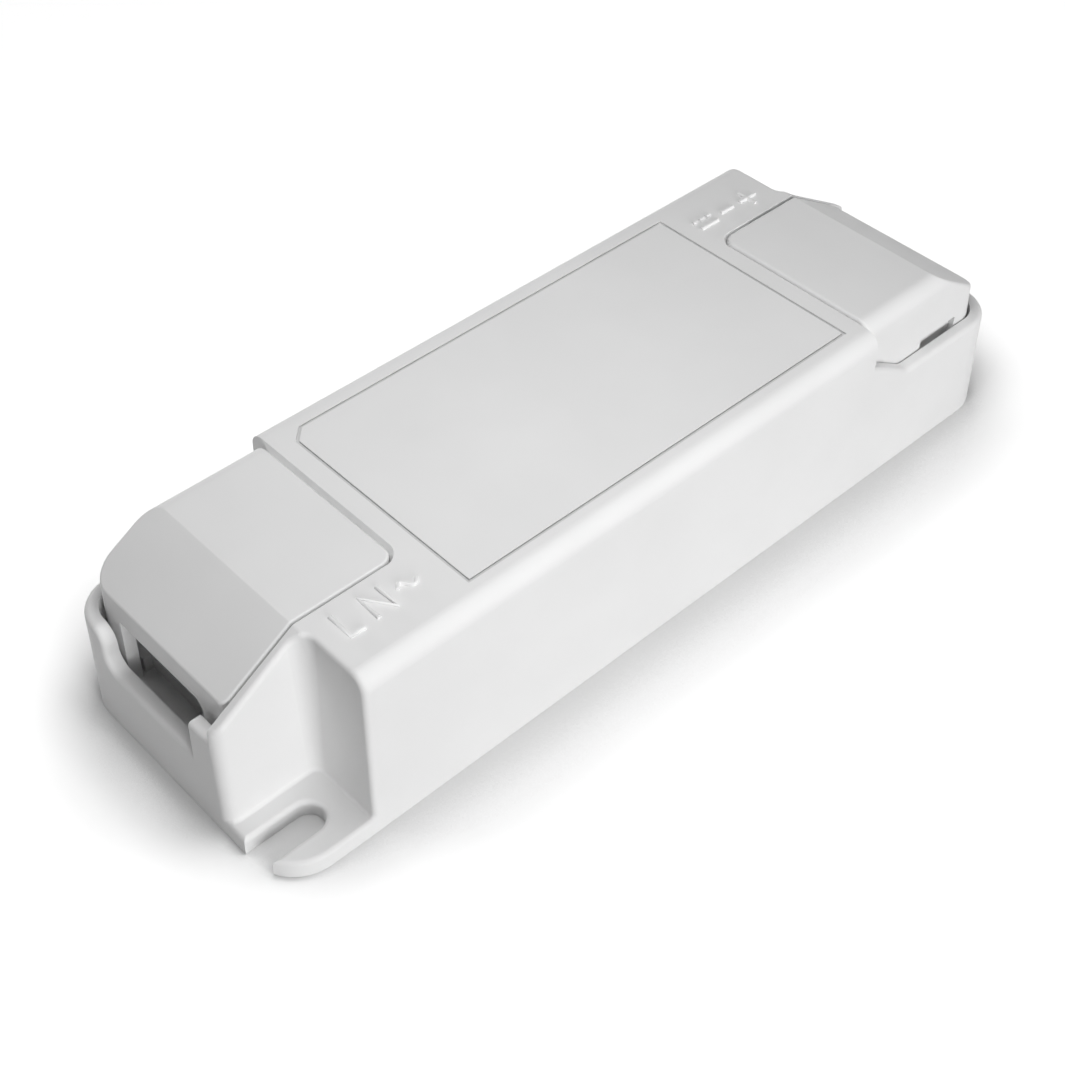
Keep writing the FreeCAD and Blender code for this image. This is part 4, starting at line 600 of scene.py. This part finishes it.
def add_lip(name, turned, material):
    """Lip between the housing's top and a cover, with the rounded fill in the bay's corner."""
    bm = bmesh.new()

    def add_row(points):
        return [bm.verts.new(Vector(point) * MM) for point in points]

    def below(point):
        return (point[0], point[1], point[2] - LIP_SKIRT)

    shoulder, corner = shoulder_stations(), corner_stations()
    rows = [add_row((upper, lower, below(lower))) for upper, lower in shoulder + corner]
    for first, second in zip(rows, rows[1:]):
        for i in range(2):
            bm.faces.new((first[i], second[i], second[i + 1], first[i + 1]))
    back = [add_row([(BAY_WALL, upper[1], upper[2])])[0] for upper, lower in shoulder + corner[:1]]
    for first, second, near, far in zip(back, back[1:], rows, rows[1:]):
        bm.faces.new((first, second, far[0], near[0]))
    apex = add_row([(BAY_WALL, BAY_SIDE_WALL, TOP_HEIGHT)])[0]
    arc = rows[len(shoulder):len(shoulder) + LIP_STEPS + 1]
    fan = [back[-1]] + [row[0] for row in arc]
    for first, second in zip(fan, fan[1:]):
        bm.faces.new((first, apex, second))
    bmesh.ops.recalc_face_normals(bm, faces=bm.faces)
    lip = mesh_object(name, bm, material)
    smooth_up_to(lip, LIP_SHARP)
    if turned:
        lip.rotation_euler.z = math.pi
    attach(lip, "root")


# Screws: a head is an outline of rings from its face to the shank, as radius and distance from the face
SCREW_SIDES = 32
SCREW_SHARP = math.radians(35)
SHANK_RADIUS = 1.25
THREAD_PITCH = 0.9
THREAD_DEPTH = 0.22
THREAD_ROWS = 5
TIP_LENGTH = 1.2
TIP_SHARE = 0.45
COUNTERSUNK_RADIUS = 2.6
COUNTERSUNK_HEAD = [(COUNTERSUNK_RADIUS, 0.0), (COUNTERSUNK_RADIUS, 0.1), (SHANK_RADIUS, 1.35)]
PAN_RADIUS = 2.3
PAN_HEAD = [(1.85, 0.0), (2.1, 0.1), (2.25, 0.28), (PAN_RADIUS, 0.5), (PAN_RADIUS, 1.8), (SHANK_RADIUS, 1.8)]
RECESS_REACH = 1.3
RECESS_HALF_WIDTH = 0.3
RECESS_DEPTH = 0.9
RECESS_TAPER = 0.8
UPWARD = 1
DOWNWARD = -1
BOTTOM_SCREW_X = corners_of("bottom_screws")[1].x - COUNTERSUNK_RADIUS
BOTTOM_SCREW_Y = 16.1
BOTTOM_SCREWS = [(x * BOTTOM_SCREW_X, y * BOTTOM_SCREW_Y) for x in (1, -1) for y in (1, -1)]
CLAMP_SCREW_X = corners_of("clamp_screws")[1].x - PAN_RADIUS
CLAMP_SCREW_YS = (12.665, -4.1)
CLAMP_SCREWS = [(-end * CLAMP_SCREW_X, end * y) for end in (1, -1) for y in CLAMP_SCREW_YS]
# Each set: head, way the shank points and places in plan
SCREW_SETS = {
    "bottom_screws": (COUNTERSUNK_HEAD, UPWARD, BOTTOM_SCREWS),
    "clamp_screws": (PAN_HEAD, DOWNWARD, CLAMP_SCREWS),
}


def cross_outline(share):
    """Cross recess seen from above, as twelve corners in order."""
    far, near = RECESS_REACH * share, RECESS_HALF_WIDTH * share
    arm = [(far, -near), (far, near), (near, near)]
    corners = []
    for quarter in range(4):
        turn = Matrix.Rotation(math.pi / 2 * quarter, 2)
        corners += [turn @ Vector(corner) for corner in arm]
    return corners


def thread_radius(depth, length, angle):
    """Radius of the threaded shank at a depth under the head's face, narrowing to the tip."""
    phase = (depth / THREAD_PITCH - angle / (2 * math.pi)) % 1
    radius = SHANK_RADIUS - THREAD_DEPTH * abs(2 * phase - 1)
    left = min((length - depth) / TIP_LENGTH, 1)
    return radius * (TIP_SHARE + (1 - TIP_SHARE) * left)


def add_screw(bm, place, face_height, length, outline, way):
    """One screw with a threaded shank and a cross recess in its head."""
    angles = [2 * math.pi * side / SCREW_SIDES for side in range(SCREW_SIDES)]

    def vertex(x, y, depth):
        return bm.verts.new(Vector((place[0] + x, place[1] + y, face_height + way * depth)) * MM)

    def join(upper, lower):
        for i in range(len(upper)):
            after = (i + 1) % len(upper)
            bm.faces.new((upper[i], upper[after], lower[after], lower[i]))

    def ring(radii, depth):
        return [vertex(r * math.cos(a), r * math.sin(a), depth) for r, a in zip(radii, angles)]

    rows = [ring([radius] * SCREW_SIDES, depth) for radius, depth in outline]
    start = outline[-1][1]
    count = round((length - start) / THREAD_PITCH * THREAD_ROWS)
    for step in range(1, count + 1):
        depth = start + (length - start) * step / count
        rows.append(ring([thread_radius(depth, length, a) for a in angles], depth))
    for upper, lower in zip(rows, rows[1:]):
        join(upper, lower)
    bm.faces.new(rows[-1])
    mouth = [vertex(corner.x, corner.y, 0) for corner in cross_outline(1)]
    foot = [vertex(corner.x, corner.y, RECESS_DEPTH) for corner in cross_outline(RECESS_TAPER)]
    join(mouth, foot)
    bm.faces.new(foot)
    face = rows[0] + mouth
    for corners in tessellate_polygon([[v.co for v in rows[0]], [v.co for v in mouth]]):
        bm.faces.new([face[i] for i in corners])


def add_screws(node, material):
    """Threaded screws with cross recesses in place of a node's plain ones, as long as these."""
    outline, way, places = SCREW_SETS[node]
    lowest, highest = corners_of(node)
    face_height = lowest.z if way == UPWARD else highest.z
    bm = bmesh.new()
    for place in places:
        add_screw(bm, place, face_height, highest.z - lowest.z, outline, way)
    bmesh.ops.recalc_face_normals(bm, faces=bm.faces)
    screws = mesh_object(node + "_threaded", bm, material)
    smooth_up_to(screws, SCREW_SHARP)
    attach(screws, "root")
    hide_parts(node)


make_camera()
make_world()
make_lamps()
make_floor()
materials = make_materials()
dress_nodes(materials)
add_marks("input_marks", INPUT_MARKS, False, materials["housing_plastic"])
add_marks("output_marks", OUTPUT_MARKS, True, materials["housing_plastic"])
add_lip("input_bay_lip", False, materials["housing_plastic"])
add_lip("output_bay_lip", True, materials["housing_plastic"])
for screw_node in SCREW_SETS:
    add_screws(screw_node, materials["screw_steel"])
bpy.context.scene.view_settings.view_transform = "Standard"
